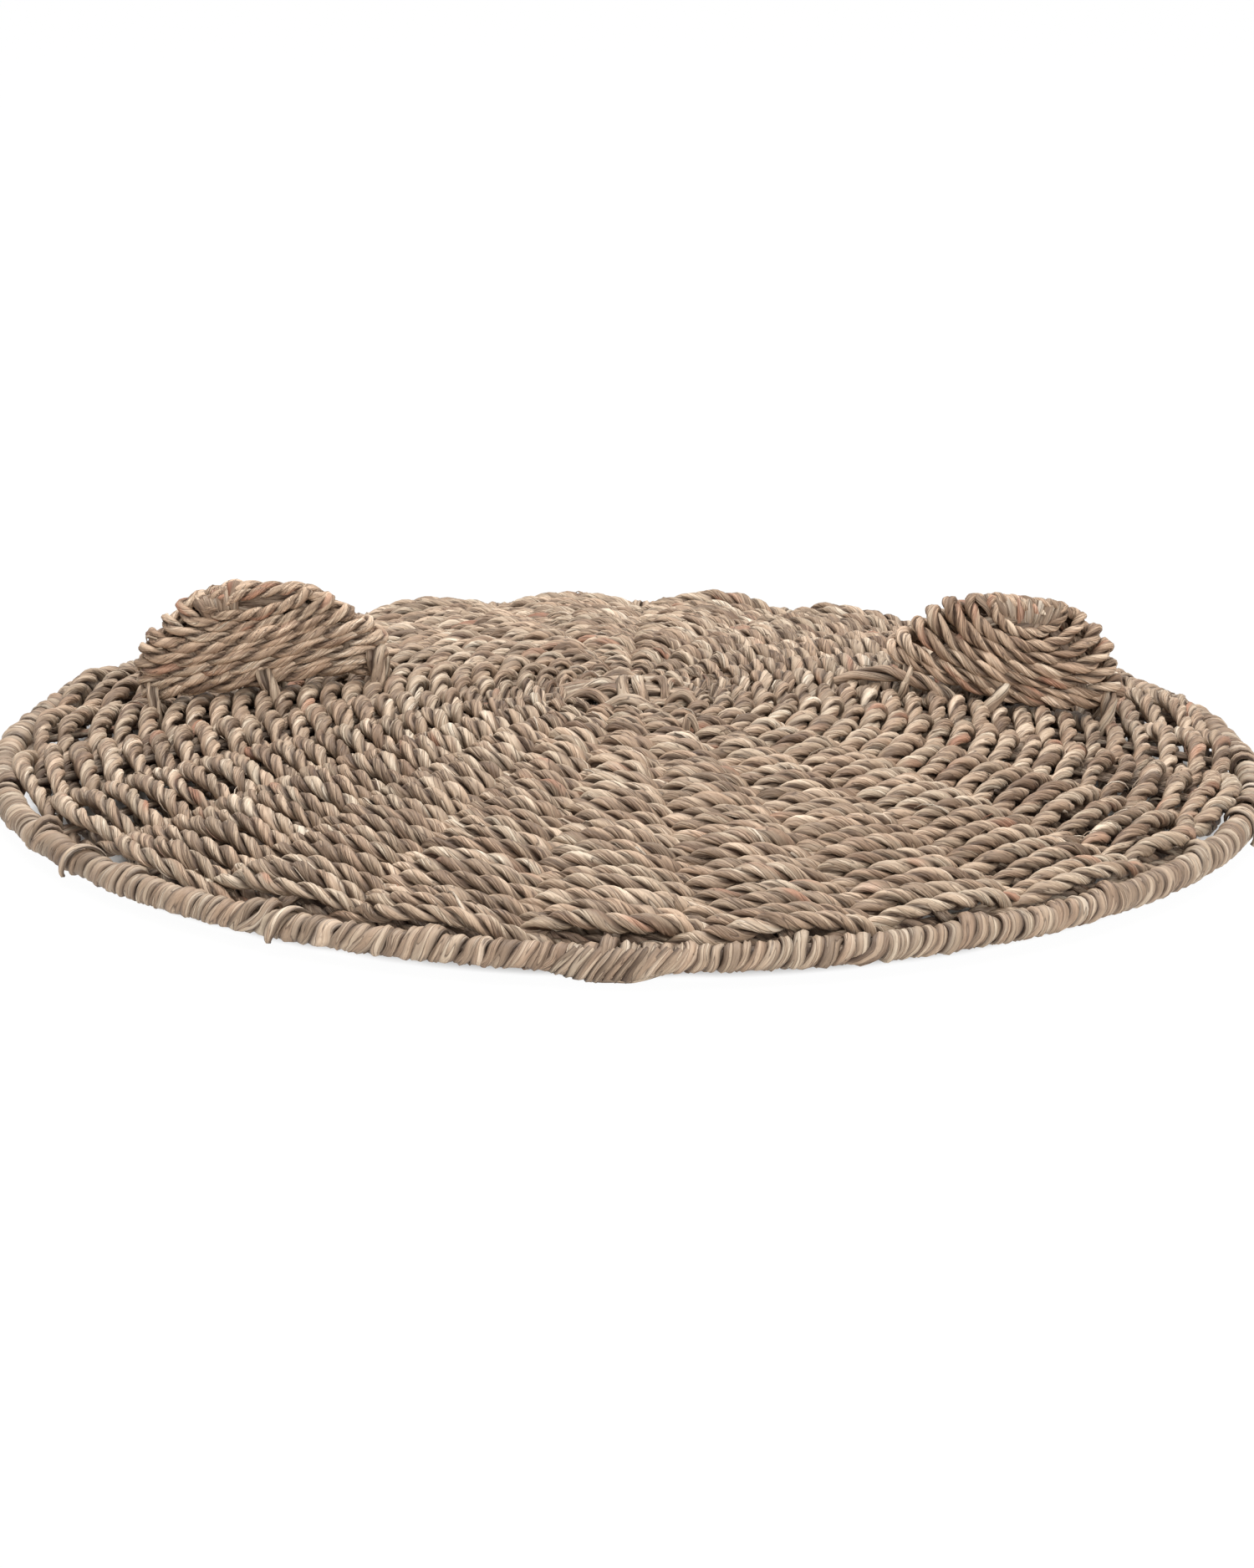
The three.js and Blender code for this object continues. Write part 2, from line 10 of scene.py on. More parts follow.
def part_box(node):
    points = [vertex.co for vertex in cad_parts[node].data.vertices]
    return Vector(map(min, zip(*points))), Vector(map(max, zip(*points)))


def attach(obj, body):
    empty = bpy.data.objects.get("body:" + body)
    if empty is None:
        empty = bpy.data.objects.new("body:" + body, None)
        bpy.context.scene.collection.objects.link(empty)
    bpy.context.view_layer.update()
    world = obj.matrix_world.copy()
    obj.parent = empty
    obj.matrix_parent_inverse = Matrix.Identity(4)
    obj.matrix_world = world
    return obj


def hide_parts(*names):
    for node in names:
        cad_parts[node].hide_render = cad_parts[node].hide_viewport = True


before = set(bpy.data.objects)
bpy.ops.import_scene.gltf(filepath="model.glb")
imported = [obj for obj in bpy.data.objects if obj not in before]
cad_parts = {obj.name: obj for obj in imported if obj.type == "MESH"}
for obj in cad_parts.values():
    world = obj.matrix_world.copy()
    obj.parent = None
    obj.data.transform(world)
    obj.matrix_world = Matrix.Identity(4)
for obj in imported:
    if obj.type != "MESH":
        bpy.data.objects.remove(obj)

bl_info = {
    "name": "Woven Seagrass Lid",
    "version": (1, 0, 0),
    "blender": (4, 5, 0),
    "location": "View3D > Sidebar > Lid",
    "description": "Builds the rope, strands, wraps and ears of a seagrass lid round its packed frame",
    "category": "Object",
}

MM = 0.001
UP = np.array([0.0, 0.0, 1.0])
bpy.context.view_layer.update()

# Places and counts that the frame gives
STAKE_NODES = sorted(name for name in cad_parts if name.startswith("stake_"))
STAKE_COUNT = len(STAKE_NODES)
STAKE_SPACING = 2 * math.pi / STAKE_COUNT
WIRE_LOW, WIRE_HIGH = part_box("hoop_wire")
RIM_LOW, RIM_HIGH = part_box("rim_binding")
SPLICE_LOW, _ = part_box("rim_splice")
HOOP_HEIGHT = (WIRE_LOW.z + WIRE_HIGH.z) / 2
HOOP_RADIUS = WIRE_HIGH.x - (WIRE_HIGH.z - WIRE_LOW.z) / 2
BINDING_RADIUS = RIM_HIGH.x - HOOP_RADIUS

# Angles about the lid's axis, anticlockwise from +X
FIRST_STAKE = math.radians(-91.3)
SPLICE_ANGLE = math.radians(-90.8)
EDGE_HOLES = [math.radians(angle) for angle in (-146, -120, -90, -28, 56, 150)]


def hex_colour(text):
    """An sRGB hex colour as linear red, green, blue and alpha."""
    channels = [int(text[i : i + 2], 16) / 255 for i in (1, 3, 5)]
    linear = [c / 12.92 if c <= 0.04045 else ((c + 0.055) / 1.055) ** 2.4 for c in channels]
    return (*linear, 1.0)


def colour_property(name, description, text):
    settings = {"default": hex_colour(text)[:3], "size": 3, "subtype": "COLOR", "min": 0, "max": 1}
    return bpy.props.FloatVectorProperty(name=name, description=description, **settings)


def number_property(name, description, value, **settings):
    kind = bpy.props.IntProperty if isinstance(value, int) else bpy.props.FloatProperty
    return kind(name=name, description=description, default=value, **settings)


def length_property(name, description, millimetres):
    return number_property(name, description, millimetres * MM, unit="LENGTH", precision=5)


def angle_property(name, description, degrees):
    return number_property(name, description, math.radians(degrees), subtype="ANGLE")


class WeaveSizes(bpy.types.PropertyGroup):
    rope_radius: length_property("Rope radius", "Half the thickness of the two-ply rope", 2.95)
    edge_thinning: number_property("Edge thinning", "Share of its radius that it loses outwards", 0.05)
    twist_length: length_property("Twist length", "Rope length in which a ply goes once round", 17)
    row_pitch: length_property("Row pitch", "Distance between two rows in the tight middle", 3.45)
    edge_row_pitch: length_property("Edge row pitch", "Distance between two rows in the loose edge", 4.5)
    loose_from: length_property("Loose from", "Distance from the axis where rows begin to open", 120)
    first_row: length_property("First row", "Distance of the first row from the axis", 19)
    last_row: length_property("Last row", "Distance of the last row from the axis", 188.3)
    hump_height: length_property("Hump height", "How far the rope rises over a stake", 4.1)
    edge_hump: length_property("Edge hump", "How far it rises over a stake in the last rows", 5.8)
    dome_rise: length_property("Dome rise", "Height of the dome over the hoop", 24.5)
    dome_power: number_property("Dome power", "How late the dome falls", 1.6)
    edge_sag: length_property("Edge sag", "How far the last row hangs back between stakes", 1.4)
    hole_sag: length_property("Hole sag", "How far it hangs back at a see-through hole", 4.6)


class RimSizes(bpy.types.PropertyGroup):
    wrap_count: number_property("Wraps", "Turns of strand round the rim", 292)
    strand_thickness: length_property("Strand thickness", "Thickness of the flat strand", 2.25)
    slant: length_property("Slant", "How far a wrap leans over half its height", 1.0)
    grab_reach: length_property("Grab reach", "How far wraps reach in to hold the last row", 3.2)
    splice_length: length_property("Splice length", "Length of the second layer at the front", 34)
    splice_wraps: number_property("Splice wraps", "Wraps of the second layer", 13)


class EarSizes(bpy.types.PropertyGroup):
    fullness: number_property("Fullness", "Swell of the ears' rope", 1.12)
    stakes: number_property("Stakes", "Short stakes in each ear", 8)
    stitch_radius: length_property("Stitch radius", "Half the thickness of a stitch's strand", 1.9)


class SeagrassColours(bpy.types.PropertyGroup):
    shade: colour_property("Shade", "Deep gaps between strands", "#301b0e")
    dark: colour_property("Dark", "Dark blades", "#6f5a49")
    middle: colour_property("Middle", "Most blades", "#a58e79")
    light: colour_property("Light", "Light blades", "#c4b09b")
    straw: colour_property("Straw", "Palest blades", "#e6d8c7")
    blush: colour_property("Blush", "Reddish blades", "#a46e54")


class StageSizes(bpy.types.PropertyGroup):
    elevation: angle_property("Elevation", "Camera angle above the rim plane", 15.952)
    roll: angle_property("Roll", "Camera roll", 0.775)
    distance: length_property("Distance", "Camera distance from the middle of the hoop", 1800)
    lens: number_property("Lens", "Focal length on a 36 mm frame", 131.24)
    floor_size: length_property("Floor size", "Side of the floor", 12000)


# Strands: swept sections gathered into one mesh, with values that the material reads


def unit(vectors):
    return vectors / np.linalg.norm(vectors, axis=-1, keepdims=True)


def wander(rng, length, every, count):
    """Smooth random values from -1 to 1 along a strand, with a new one every so many metres."""
    knots = max(3, int(length / every) + 2)
    values = rng.uniform(-1, 1, knots + 1)
    place = np.linspace(0, knots - 1, count)
    first = place.astype(int)
    share = place - first
    share = share * share * (3 - 2 * share)
    return values[first] * (1 - share) + values[first + 1] * share


def lengths_along(path):
    """Distance of each point from the start of its path."""
    steps = np.linalg.norm(np.diff(path, axis=0), axis=1)
    return np.concatenate([[0], np.cumsum(steps)])


def sample(places, known, vectors):
    """Vectors at places, interpolated between those at the known places."""
    return np.stack([np.interp(places, known, values) for values in np.transpose(vectors)], -1)


def through(corners, count):
    """Points on the straight lines from corner to corner, as many on each."""
    return sample(np.linspace(0, len(corners) - 1, count), np.arange(len(corners)), corners)


def round_corners(path, rounds):
    for _ in range(rounds):
        path[1:-1] = (path[:-2] + 2 * path[1:-1] + path[2:]) / 4


def frames_along(path, up):
    """Unit directions across a path: side and up, square to it."""
    along = unit(np.gradient(path, axis=0))
    side = unit(np.cross(up, along))
    return side, np.cross(along, side)


# Strand length that counts as one unit in the material's patterns
FIBRE_LENGTH = 7 * MM


class StrandMesh:
    """Collects closed strands and makes one object of them."""

    def __init__(self, seed):
        self.rng = np.random.default_rng(seed)
        self.count = 0
        self.points = []
        self.quads = []
        self.triangles = []
        self.values = {"tone": [], "warmth": [], "blush": [], "hollow": []}
        self.fibre = []

    def add(self, rings, length, around, breadth=2.4, **values):
        """One strand through rings of points. breadth is its size across in the material's patterns, values a
        number for each point, in rows like the rings."""
        rows, sides, _ = rings.shape
        index = self.count + np.arange(rows * sides).reshape(rows, sides)
        turned = np.roll(index, -1, axis=1)
        self.quads.append(np.stack([index[:-1], turned[:-1], turned[1:], index[1:]], -1).reshape(-1, 4))
        first = self.count + rows * sides
        start = np.stack([np.full(sides, first), turned[0], index[0]], -1)
        end = np.stack([np.full(sides, first + 1), index[-1], turned[-1]], -1)
        self.triangles += [start, end]
        self.points += [rings.reshape(-1, 3), rings[0].mean(axis=0)[None], rings[-1].mean(axis=0)[None]]
        self.count += rows * sides + 2
        for name, parts in self.values.items():
            rows_of = np.broadcast_to(values.get(name, 0.0), (rows, sides))
            parts += [rows_of.reshape(-1), rows_of[0, :1], rows_of[-1, :1]]
        shift = self.rng.uniform(0, 500, 3)
        parts = (length[:, None] / FIBRE_LENGTH, breadth * np.cos(around), breadth * np.sin(around))
        swirl = np.stack([np.broadcast_to(part, (rows, sides)) for part in parts], -1) + shift
        self.fibre += [swirl.reshape(-1, 3), swirl[0, :1], swirl[-1, :1]]

    def finish(self, name, material, body, slot, *nodes):
        """Makes the object, which rides on a body and stands for the nodes."""
        quads = np.concatenate(self.quads)
        triangles = np.concatenate(self.triangles)
        mesh = bpy.data.meshes.new(name)
        mesh.vertices.add(self.count)
        mesh.vertices.foreach_set("co", np.concatenate(self.points).astype(np.float32).ravel())
        corners = np.concatenate([quads.ravel(), triangles.ravel()])
        mesh.loops.add(len(corners))
        mesh.loops.foreach_set("vertex_index", corners.astype(np.int32))
        starts = np.concatenate([4 * np.arange(len(quads)), 4 * len(quads) + 3 * np.arange(len(triangles))])
        mesh.polygons.add(len(starts))
        mesh.polygons.foreach_set("loop_start", starts.astype(np.int32))
        mesh.polygons.foreach_set("use_smooth", np.ones(len(starts), dtype=bool))
        mesh.update(calc_edges=True)
        for value, parts in self.values.items():
            layer = mesh.attributes.new(value, "FLOAT", "POINT")
            layer.data.foreach_set("value", np.concatenate(parts).astype(np.float32))
        layer = mesh.attributes.new("fibre", "FLOAT_VECTOR", "POINT")
        layer.data.foreach_set("vector", np.concatenate(self.fibre).astype(np.float32).ravel())
        mesh.materials.append(material)
        piece = bpy.data.objects.new(name, mesh)
        bpy.context.collection.objects.link(piece)
        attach(piece, body)
        if nodes:
            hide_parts(*nodes)
        return piece


# A ply's blades: points round each, their swell and the painted shade in the crease between two, the length
# in which they go once round the ply, and how far their tones differ
BLADES = 3
POINTS_PER_BLADE = 4
PLY_SIDES = BLADES * POINTS_PER_BLADE
BLADE_SWELL = np.tile([0.8, 1.0, 1.07, 1.0], BLADES)
BLADE_CREASE_SHADE = np.tile([1.0, 0.0, 0.0, 0.0], BLADES)
BLADE_TURN = 45 * MM
BLADE_SPREAD = 0.22
# A sliver: points round it, half its thickness and how high it stands off at most
SLIVER_SIDES = 6
SLIVER_THICKNESS = 0.16 * MM
SLIVER_LIFT = 2.4 * MM


def angles_round(sides):
    return 2 * np.pi * (np.arange(sides) + 0.5) / sides


def sliver(mesh, path, side, up, wide, thick, tone):
    """A torn edge or a loose fibre that leaves the strand's surface and ends in a thin tip."""
    rng = mesh.rng
    count = len(path)
    share = np.linspace(0, 1, count)
    turn = rng.uniform(0, 2 * np.pi) + rng.uniform(-1.2, 1.2) * share
    if rng.uniform() < 0.5:
        share = share[::-1]
    lift = (rng.uniform(0.2, 1.0) ** 2 * SLIVER_LIFT) * share**2
    away = np.cos(turn)[:, None] * side + np.sin(turn)[:, None] * up
    spine = path + (wide + lift)[:, None] * np.cos(turn)[:, None] * side
    spine = spine + (thick + lift)[:, None] * np.sin(turn)[:, None] * up
    along = unit(np.gradient(spine, axis=0))
    across = unit(np.cross(along, away))
    half = rng.uniform(0.22, 0.6) * MM * (1 - 0.85 * share**2)
    around = angles_round(SLIVER_SIDES)
    out = np.cross(across, along)
    rings = spine[:, None] - (half[:, None] * np.cos(around))[..., None] * across[:, None]
    rings = rings - (SLIVER_THICKNESS * np.sin(around))[None, :, None] * out[:, None]
    pale = tone + rng.uniform(-0.2, 0.45)
    blush = 0.6 * float(rng.uniform() > 0.93)
    mesh.add(rings, lengths_along(spine), around, tone=pale, warmth=0.6, blush=blush)


def ply(mesh, path, out, wide, thick, hollow=0, tone=0.5, warmth=0.5, russet=0, spin=0, sliver_every=0):
    """A strand of folded blades along a path. out points to its outer side; wide and thick are half sizes."""
    rng = mesh.rng
    count = len(path)
    length = lengths_along(path)
    total = length[-1]

    def blade_values(every):
        values = np.stack([wander(rng, total, every, count) for _ in range(BLADES)], -1)
        return np.repeat(values, POINTS_PER_BLADE, axis=1)

    side, up = frames_along(path, out)
    wide, thick, hollow = (np.broadcast_to(value, count) for value in (wide, thick, hollow))
    spin = spin + length / BLADE_TURN * 2 * np.pi + rng.uniform(0, 6.28)
    around = angles_round(PLY_SIDES) + spin[:, None]
    swell = BLADE_SWELL + 0.04 * rng.uniform(-1, 1, PLY_SIDES)
    swell = swell * (1 + 0.06 * wander(rng, total, 11 * MM, count)[:, None])
    swell = swell * (1 + 0.11 * blade_values(6 * MM))
    if sliver_every:
        for first in rng.integers(0, max(1, count - 9), int(total / sliver_every)):
            part = slice(first, first + rng.integers(5, 9))
            sliver(mesh, path[part], side[part], up[part], wide[part], thick[part], tone)
    across = wide[:, None] * swell * np.cos(around)
    rise = thick[:, None] * swell * np.sin(around)
    rings = path[:, None] + across[..., None] * side[:, None] + rise[..., None] * up[:, None]
    blades = BLADE_SPREAD * blade_values(45 * MM)
    tones = tone + 0.5 * BLADE_SPREAD * wander(rng, total, 160 * MM, count)[:, None] + blades
    warm = warmth + 0.5 * blade_values(70 * MM)
    red = np.clip(blade_values(26 * MM) * 5 - 4.2 + russet, 0, 0.6)
    # Painted shade: the ply is darker on its inward side, where it meets the other ply, and in the creases
    # between its blades, where shade would fall
    inner = smooth_step(-np.sin(around), -0.35, 0.45)
    painted_shade_sum = np.clip(hollow[:, None] + 0.35 * BLADE_CREASE_SHADE + 0.8 * inner, 0, 1)
    mesh.add(rings, length, around, tone=tones, warmth=warm, blush=red, hollow=painted_shade_sum)


def rope(mesh, path, up, radius, twist_length, turn=1, flat=(), start=0.0, **looks):
    """Two plies twisted round each other along a path. flat holds squeezes: directions and their factors."""
    rng = mesh.rng
    length = lengths_along(path)
    count = len(path)
    side, rise = frames_along(path, up)
    steps = np.diff(length) / np.broadcast_to(twist_length, count)[1:]
    turns = start + np.concatenate([[0], np.cumsum(steps)])
    angle = turn * (2 * np.pi * turns + 1.3 * wander(rng, length[-1], 40 * MM, count))
    size = radius * (1 + 0.13 * wander(rng, length[-1], 26 * MM, count))
    for half in (0.0, np.pi):
        out = np.cos(angle + half)[:, None] * side + np.sin(angle + half)[:, None] * rise
        offset = 0.5 * size[:, None] * out
        for direction, factor in flat:
            reach = np.sum(offset * direction, axis=1, keepdims=True)
            offset = offset + (np.reshape(factor, (-1, 1)) - 1) * reach * direction
        share = 0.6 * size * (1 + 0.15 * wander(rng, length[-1], 19 * MM, count))
        ply(mesh, path + offset, out, 1.12 * share, 0.96 * share, spin=-angle - half, **looks)


# Surfaces that strands follow


def dome_height(sizes, radius):
    share = np.minimum(radius, HOOP_RADIUS) / HOOP_RADIUS
    return HOOP_HEIGHT + sizes.dome_rise * (1 - share**sizes.dome_power)


def dome_slope(sizes, radius):
    """Downward slope of the dome away from the axis, in radians."""
    share = radius / HOOP_RADIUS
    return np.arctan(sizes.dome_rise * sizes.dome_power * share ** (sizes.dome_power - 1) / HOOP_RADIUS)


def polar(radius, angle, height):
    return np.stack(np.broadcast_arrays(radius * np.cos(angle), radius * np.sin(angle), height), -1)


def round_rim(radius, around, angle):
    """Points at a distance from the hoop's middle line, at angles round it, and directions away from it."""
    path = polar(HOOP_RADIUS + radius * np.cos(around), angle, HOOP_HEIGHT + radius * np.sin(around))
    return path, polar(np.cos(around), angle, np.sin(around))


def angle_between(a, b):
    return (a - b + np.pi) % (2 * np.pi) - np.pi


def smooth_step(value, low, high):
    share = np.clip((value - low) / (high - low), 0, 1)
    return share * share * (3 - 2 * share)


# Materials


def node(tree, kind, links=None, out=0, stops=(), **settings):
    """Adds a node with its settings and links, and gives back one of its outputs. links names its inputs,
    each with a value or with an output that feeds it, and stops holds the places and colours of a ramp."""
    made = tree.nodes.new(kind)
    for name, value in settings.items():
        setattr(made, name, value)
    while stops and len(made.color_ramp.elements) < len(stops):
        made.color_ramp.elements.new(0.5)
    for number, (position, colour) in enumerate(stops):
        element = made.color_ramp.elements[number]
        element.position = position
        element.color = colour
    for name, value in (links or {}).items():
        if isinstance(value, bpy.types.NodeSocket):
            tree.links.new(value, made.inputs[name])
        else:
            made.inputs[name].default_value = value
    return made.outputs[out]


def new_material(name):
    material = bpy.data.materials.new(name)
    material.use_nodes = True
    return material, material.node_tree, material.node_tree.nodes["Principled BSDF"]


def tinted(colour, red, green, blue):
    return (colour[0] * red, colour[1] * green, colour[2] * blue, 1.0)


def seagrass(name, brightness, gloss=0.6):
    """Dry seagrass: flat blades, empty inside, folded and twisted, with fine lengthwise ribs and a faint waxy
    gloss.
    The blades differ in tone, some are greenish grey, a few reddish, and creases, edges and gaps are darkened
    with painted shade, and the folds' faces step lighter and darker as painted light."""
    material, tree, shader = new_material(name)
    colours = bpy.context.scene.lid_colours
    fibre = node(tree, "ShaderNodeAttribute", attribute_name="fibre", out="Vector")
    tone, warmth, blush, hollow = (
        node(tree, "ShaderNodeAttribute", attribute_name=value, out="Fac")
        for value in ("tone", "warmth", "blush", "hollow")
    )
    # Folds: contour lines of a long, thin noise part a strand into blades 1 to 2 mm wide
    folds = node(tree, "ShaderNodeTexNoise", {"Vector": fibre, "Scale": 0.4, "Detail": 0.5, "Roughness": 0.4})
    levels = node(tree, "ShaderNodeMath", {0: folds, 1: 4.5}, operation="MULTIPLY")
    inside = node(tree, "ShaderNodeMath", {0: levels, 1: 0.5}, operation="PINGPONG")
    falling = {"From Max": 0.11, "To Min": 1.0, "To Max": 0.0}
    crease = node(tree, "ShaderNodeMapRange", {"Value": inside, **falling})
    number = node(tree, "ShaderNodeMath", {0: levels}, operation="FLOOR")
    plate = node(tree, "ShaderNodeMath", {0: number, 1: 1.0}, operation="PINGPONG")
    # Crumples: facets some 4 mm long and 1 mm wide, which meet in sharp edges
    place = node(tree, "ShaderNodeMapping", {"Vector": fibre, "Scale": (1.6, 0.8, 0.8)})
    facets = node(tree, "ShaderNodeTexVoronoi", {"Vector": place, "Scale": 1.0}, feature="DISTANCE_TO_EDGE")
    falling = {"From Max": 0.07, "To Min": 0.3, "To Max": 0.0}
    edges = node(tree, "ShaderNodeMapRange", {"Value": facets, **falling})
    # Ribs: finer lengthwise lines, about 0.5 mm apart
    ribs = node(tree, "ShaderNodeTexNoise", {"Vector": fibre, "Scale": 1.7, "Detail": 3.0, "Roughness": 0.6})
    # Tone: the strand's own, a little lighter or darker from rib to rib; from fold to fold it steps lighter
    # and darker, which is painted light and shade on the folds' faces
    rib_tone = node(tree, "ShaderNodeMath", {0: ribs, 1: 0.5}, operation="SUBTRACT")
    fold_face_light = node(tree, "ShaderNodeMath", {0: plate, 1: 0.5}, operation="SUBTRACT")
    streak = node(tree, "ShaderNodeMath", {0: rib_tone, 1: 0.5, 2: tone}, operation="MULTIPLY_ADD")
    streak = node(tree, "ShaderNodeMath", {0: fold_face_light, 1: 0.17, 2: streak}, operation="MULTIPLY_ADD")
    ramps = []
    for red, green, blue in ((1.04, 0.98, 0.93), (0.96, 1.0, 0.99)):
        stops = [(0.0, tinted(colours.dark, 0.6 * red, 0.58 * green, 0.58 * blue))]
        for position, level in ((0.2, "dark"), (0.5, "middle"), (0.74, "light"), (1.0, "straw")):
            stops.append((position, tinted(getattr(colours, level), red, green, blue)))
        stops = [(position, tinted(colour, brightness, brightness, brightness)) for position, colour in stops]
        ramps.append(node(tree, "ShaderNodeValToRGB", {"Fac": streak}, stops=stops))
    # Painted shade: fold creases, sharp facet edges and the shade that each strand carries for its gaps and
    # inward sides are mixed towards the shade colour, where shade would fall
    painted_shade_mix = node(tree, "ShaderNodeMath", {0: crease, 1: 0.84}, operation="MULTIPLY")
    for darker in (hollow, edges):
        painted_shade_mix = node(tree, "ShaderNodeMath", {0: painted_shade_mix, 1: darker}, operation="MAXIMUM")
    painted_shade_mix = node(tree, "ShaderNodeMath", {0: painted_shade_mix, 1: 0.9}, operation="MULTIPLY")
    base = ramps[1]
    for factor, colour in ((warmth, ramps[0]), (blush, (*colours.blush, 1.0)), (painted_shade_mix, (*colours.shade, 1.0))):
        # Sockets 6 and 7 are the two colours of a Mix node, and its third output is the mixed colour
        base = node(tree, "ShaderNodeMix", {0: factor, 6: base, 7: colour}, out=2, data_type="RGBA")
    rising = {"From Min": 0.3, "From Max": 0.7, "To Min": gloss - 0.1, "To Max": gloss + 0.15}
    rough = node(tree, "ShaderNodeMapRange", {"Value": ribs, **rising})
    swell = node(tree, "ShaderNodeMath", {0: inside, 1: 2.0}, operation="MULTIPLY")
    swell = node(tree, "ShaderNodeMath", {0: swell}, operation="SQRT")
    height = node(tree, "ShaderNodeMath", {0: ribs, 1: 0.35, 2: swell}, operation="MULTIPLY_ADD")
    height = node(tree, "ShaderNodeMath", {0: facets, 1: 1.4, 2: height}, operation="MULTIPLY_ADD")
    bump = node(tree, "ShaderNodeBump", {"Height": height, "Strength": 0.9, "Distance": 0.25 * MM})
    tree.links.new(base, shader.inputs["Base Color"])
    tree.links.new(rough, shader.inputs["Roughness"])
    tree.links.new(bump, shader.inputs["Normal"])
    shader.inputs["Specular IOR Level"].default_value = 0.4
    return material


def drawn_wire(name):
    """Plain drawn steel wire: grey, with fine lengthwise scratches and a dull shine."""
    material, tree, shader = new_material(name)
    # Scratches about 1 mm apart, coarser than real ones, so that they show
    place = node(tree, "ShaderNodeTexCoord", out="Object")
    grain = node(tree, "ShaderNodeTexNoise", {"Vector": place, "Scale": 900.0, "Detail": 2.0})
    stops = [(0.3, hex_colour("#5f6164")), (0.7, hex_colour("#8b8d90"))]
    colour = node(tree, "ShaderNodeValToRGB", {"Fac": grain}, stops=stops)
    tree.links.new(colour, shader.inputs["Base Color"])
    shader.inputs["Metallic"].default_value = 1.0
    shader.inputs["Roughness"].default_value = 0.42
    return material


# Crown

SPIRAL_STEP = 0.05  # turns between two entries of the table of radii
PATH_STEP = 0.002  # turns between two samples of the spiral's length
ROPE_STEP = 1.6 * MM  # rope length between two sections
STAKES_START = 19 * MM
STAKE_POINTS = 48
CENTRE_POINTS = 30
CENTRE_REACH = 21 * MM
CENTRE_LAYERS = (-88, -28, 12)
CENTRE_STRANDS = 5


def row_radii(sizes):
    """Distance from the axis against turns of the spiral: tight rows first, looser ones towards the edge."""
    turns = [0.0]
    radii = [sizes.first_row]
    while radii[-1] < sizes.last_row:
        loose = float(smooth_step(radii[-1], sizes.loose_from, sizes.last_row))
        pitch = sizes.row_pitch + (sizes.edge_row_pitch - sizes.row_pitch) * loose
        radii.append(radii[-1] + pitch * SPIRAL_STEP)
        turns.append(turns[-1] + SPIRAL_STEP)
    turns += [turns[-1] + 1.0]
    radii += [radii[-1]]
    return np.array(turns), np.array(radii)


def crown_path(sizes, rng):
    """The rope's centre line, with the dome's normal and its downward direction, the weave's phase (1 over a
    stake and -1 under one), the rope's size as a share, and the turns of the spiral."""
    turns, radii = row_radii(sizes)
    fine = np.arange(0, turns[-1], PATH_STEP)
    radius = np.interp(fine, turns, radii)
    run = np.concatenate([[0], np.cumsum(2 * np.pi * radius[:-1] * PATH_STEP)])
    count = int(run[-1] / ROPE_STEP)
    turn = np.interp(np.linspace(0, run[-1], count), run, fine)
    angle = FIRST_STAKE + 2 * np.pi * turn
    radius = np.interp(turn, turns, radii)
    phase = np.cos(np.pi * turn * STAKE_COUNT)
    size = 0.56 + 0.44 * smooth_step(radius, sizes.first_row, 60 * MM)
    edge = smooth_step(radius, sizes.last_row - 24 * MM, sizes.last_row - 3 * MM)
    low = sizes.hump_height * size
    high = low + (sizes.edge_hump - sizes.hump_height) * edge
    lift = high * np.maximum(phase, 0) ** 0.8 - low * np.maximum(-phase, 0) ** 0.8
    lift = lift * (1 + 0.22 * wander(rng, run[-1], 18 * MM, count))
    between = np.sin(np.pi * turn * STAKE_COUNT) ** 2
    outer = smooth_step(radius, sizes.last_row - 11 * MM, sizes.last_row - 1 * MM)
    near = np.min([np.abs(angle_between(angle, hole)) for hole in EDGE_HOLES], axis=0)
    hole = 1 - smooth_step(near, 0.35 * STAKE_SPACING, 0.6 * STAKE_SPACING)
    sag = between * outer * (sizes.edge_sag + (sizes.hole_sag - sizes.edge_sag) * hole)
    rough = 0.3 + 0.7 * smooth_step(radius, 60 * MM, 180 * MM)
    radius = radius - sag + 1.0 * MM * rough * wander(rng, run[-1], 15 * MM, count)
    slope = dome_slope(sizes, radius)
    away = polar(1, angle, 0)
    normal = np.cos(slope)[:, None] * UP + np.sin(slope)[:, None] * away
    down = np.cos(slope)[:, None] * away - np.sin(slope)[:, None] * UP
    path = polar(radius, angle, dome_height(sizes, radius)) + lift[:, None] * normal
    size = size * (1 - sizes.edge_thinning * smooth_step(radius, sizes.loose_from, 160 * MM))
    lowest = RIM_LOW.z + sizes.rope_radius * size * 0.95
    path[:, 2] = np.maximum(path[:, 2], lowest)
    return path, normal, down, phase, size, turn


# The crown's pieces, with the distance from the axis in mm where each begins
WEAVE_BANDS = {
    "weave_inner": 0,
    "weave_middle": 72,
    "weave_broad": 102,
    "weave_outer": 125,
    "weave_shoulder": 144,
    "weave_slope": 159,
    "weave_edge": 174,
}


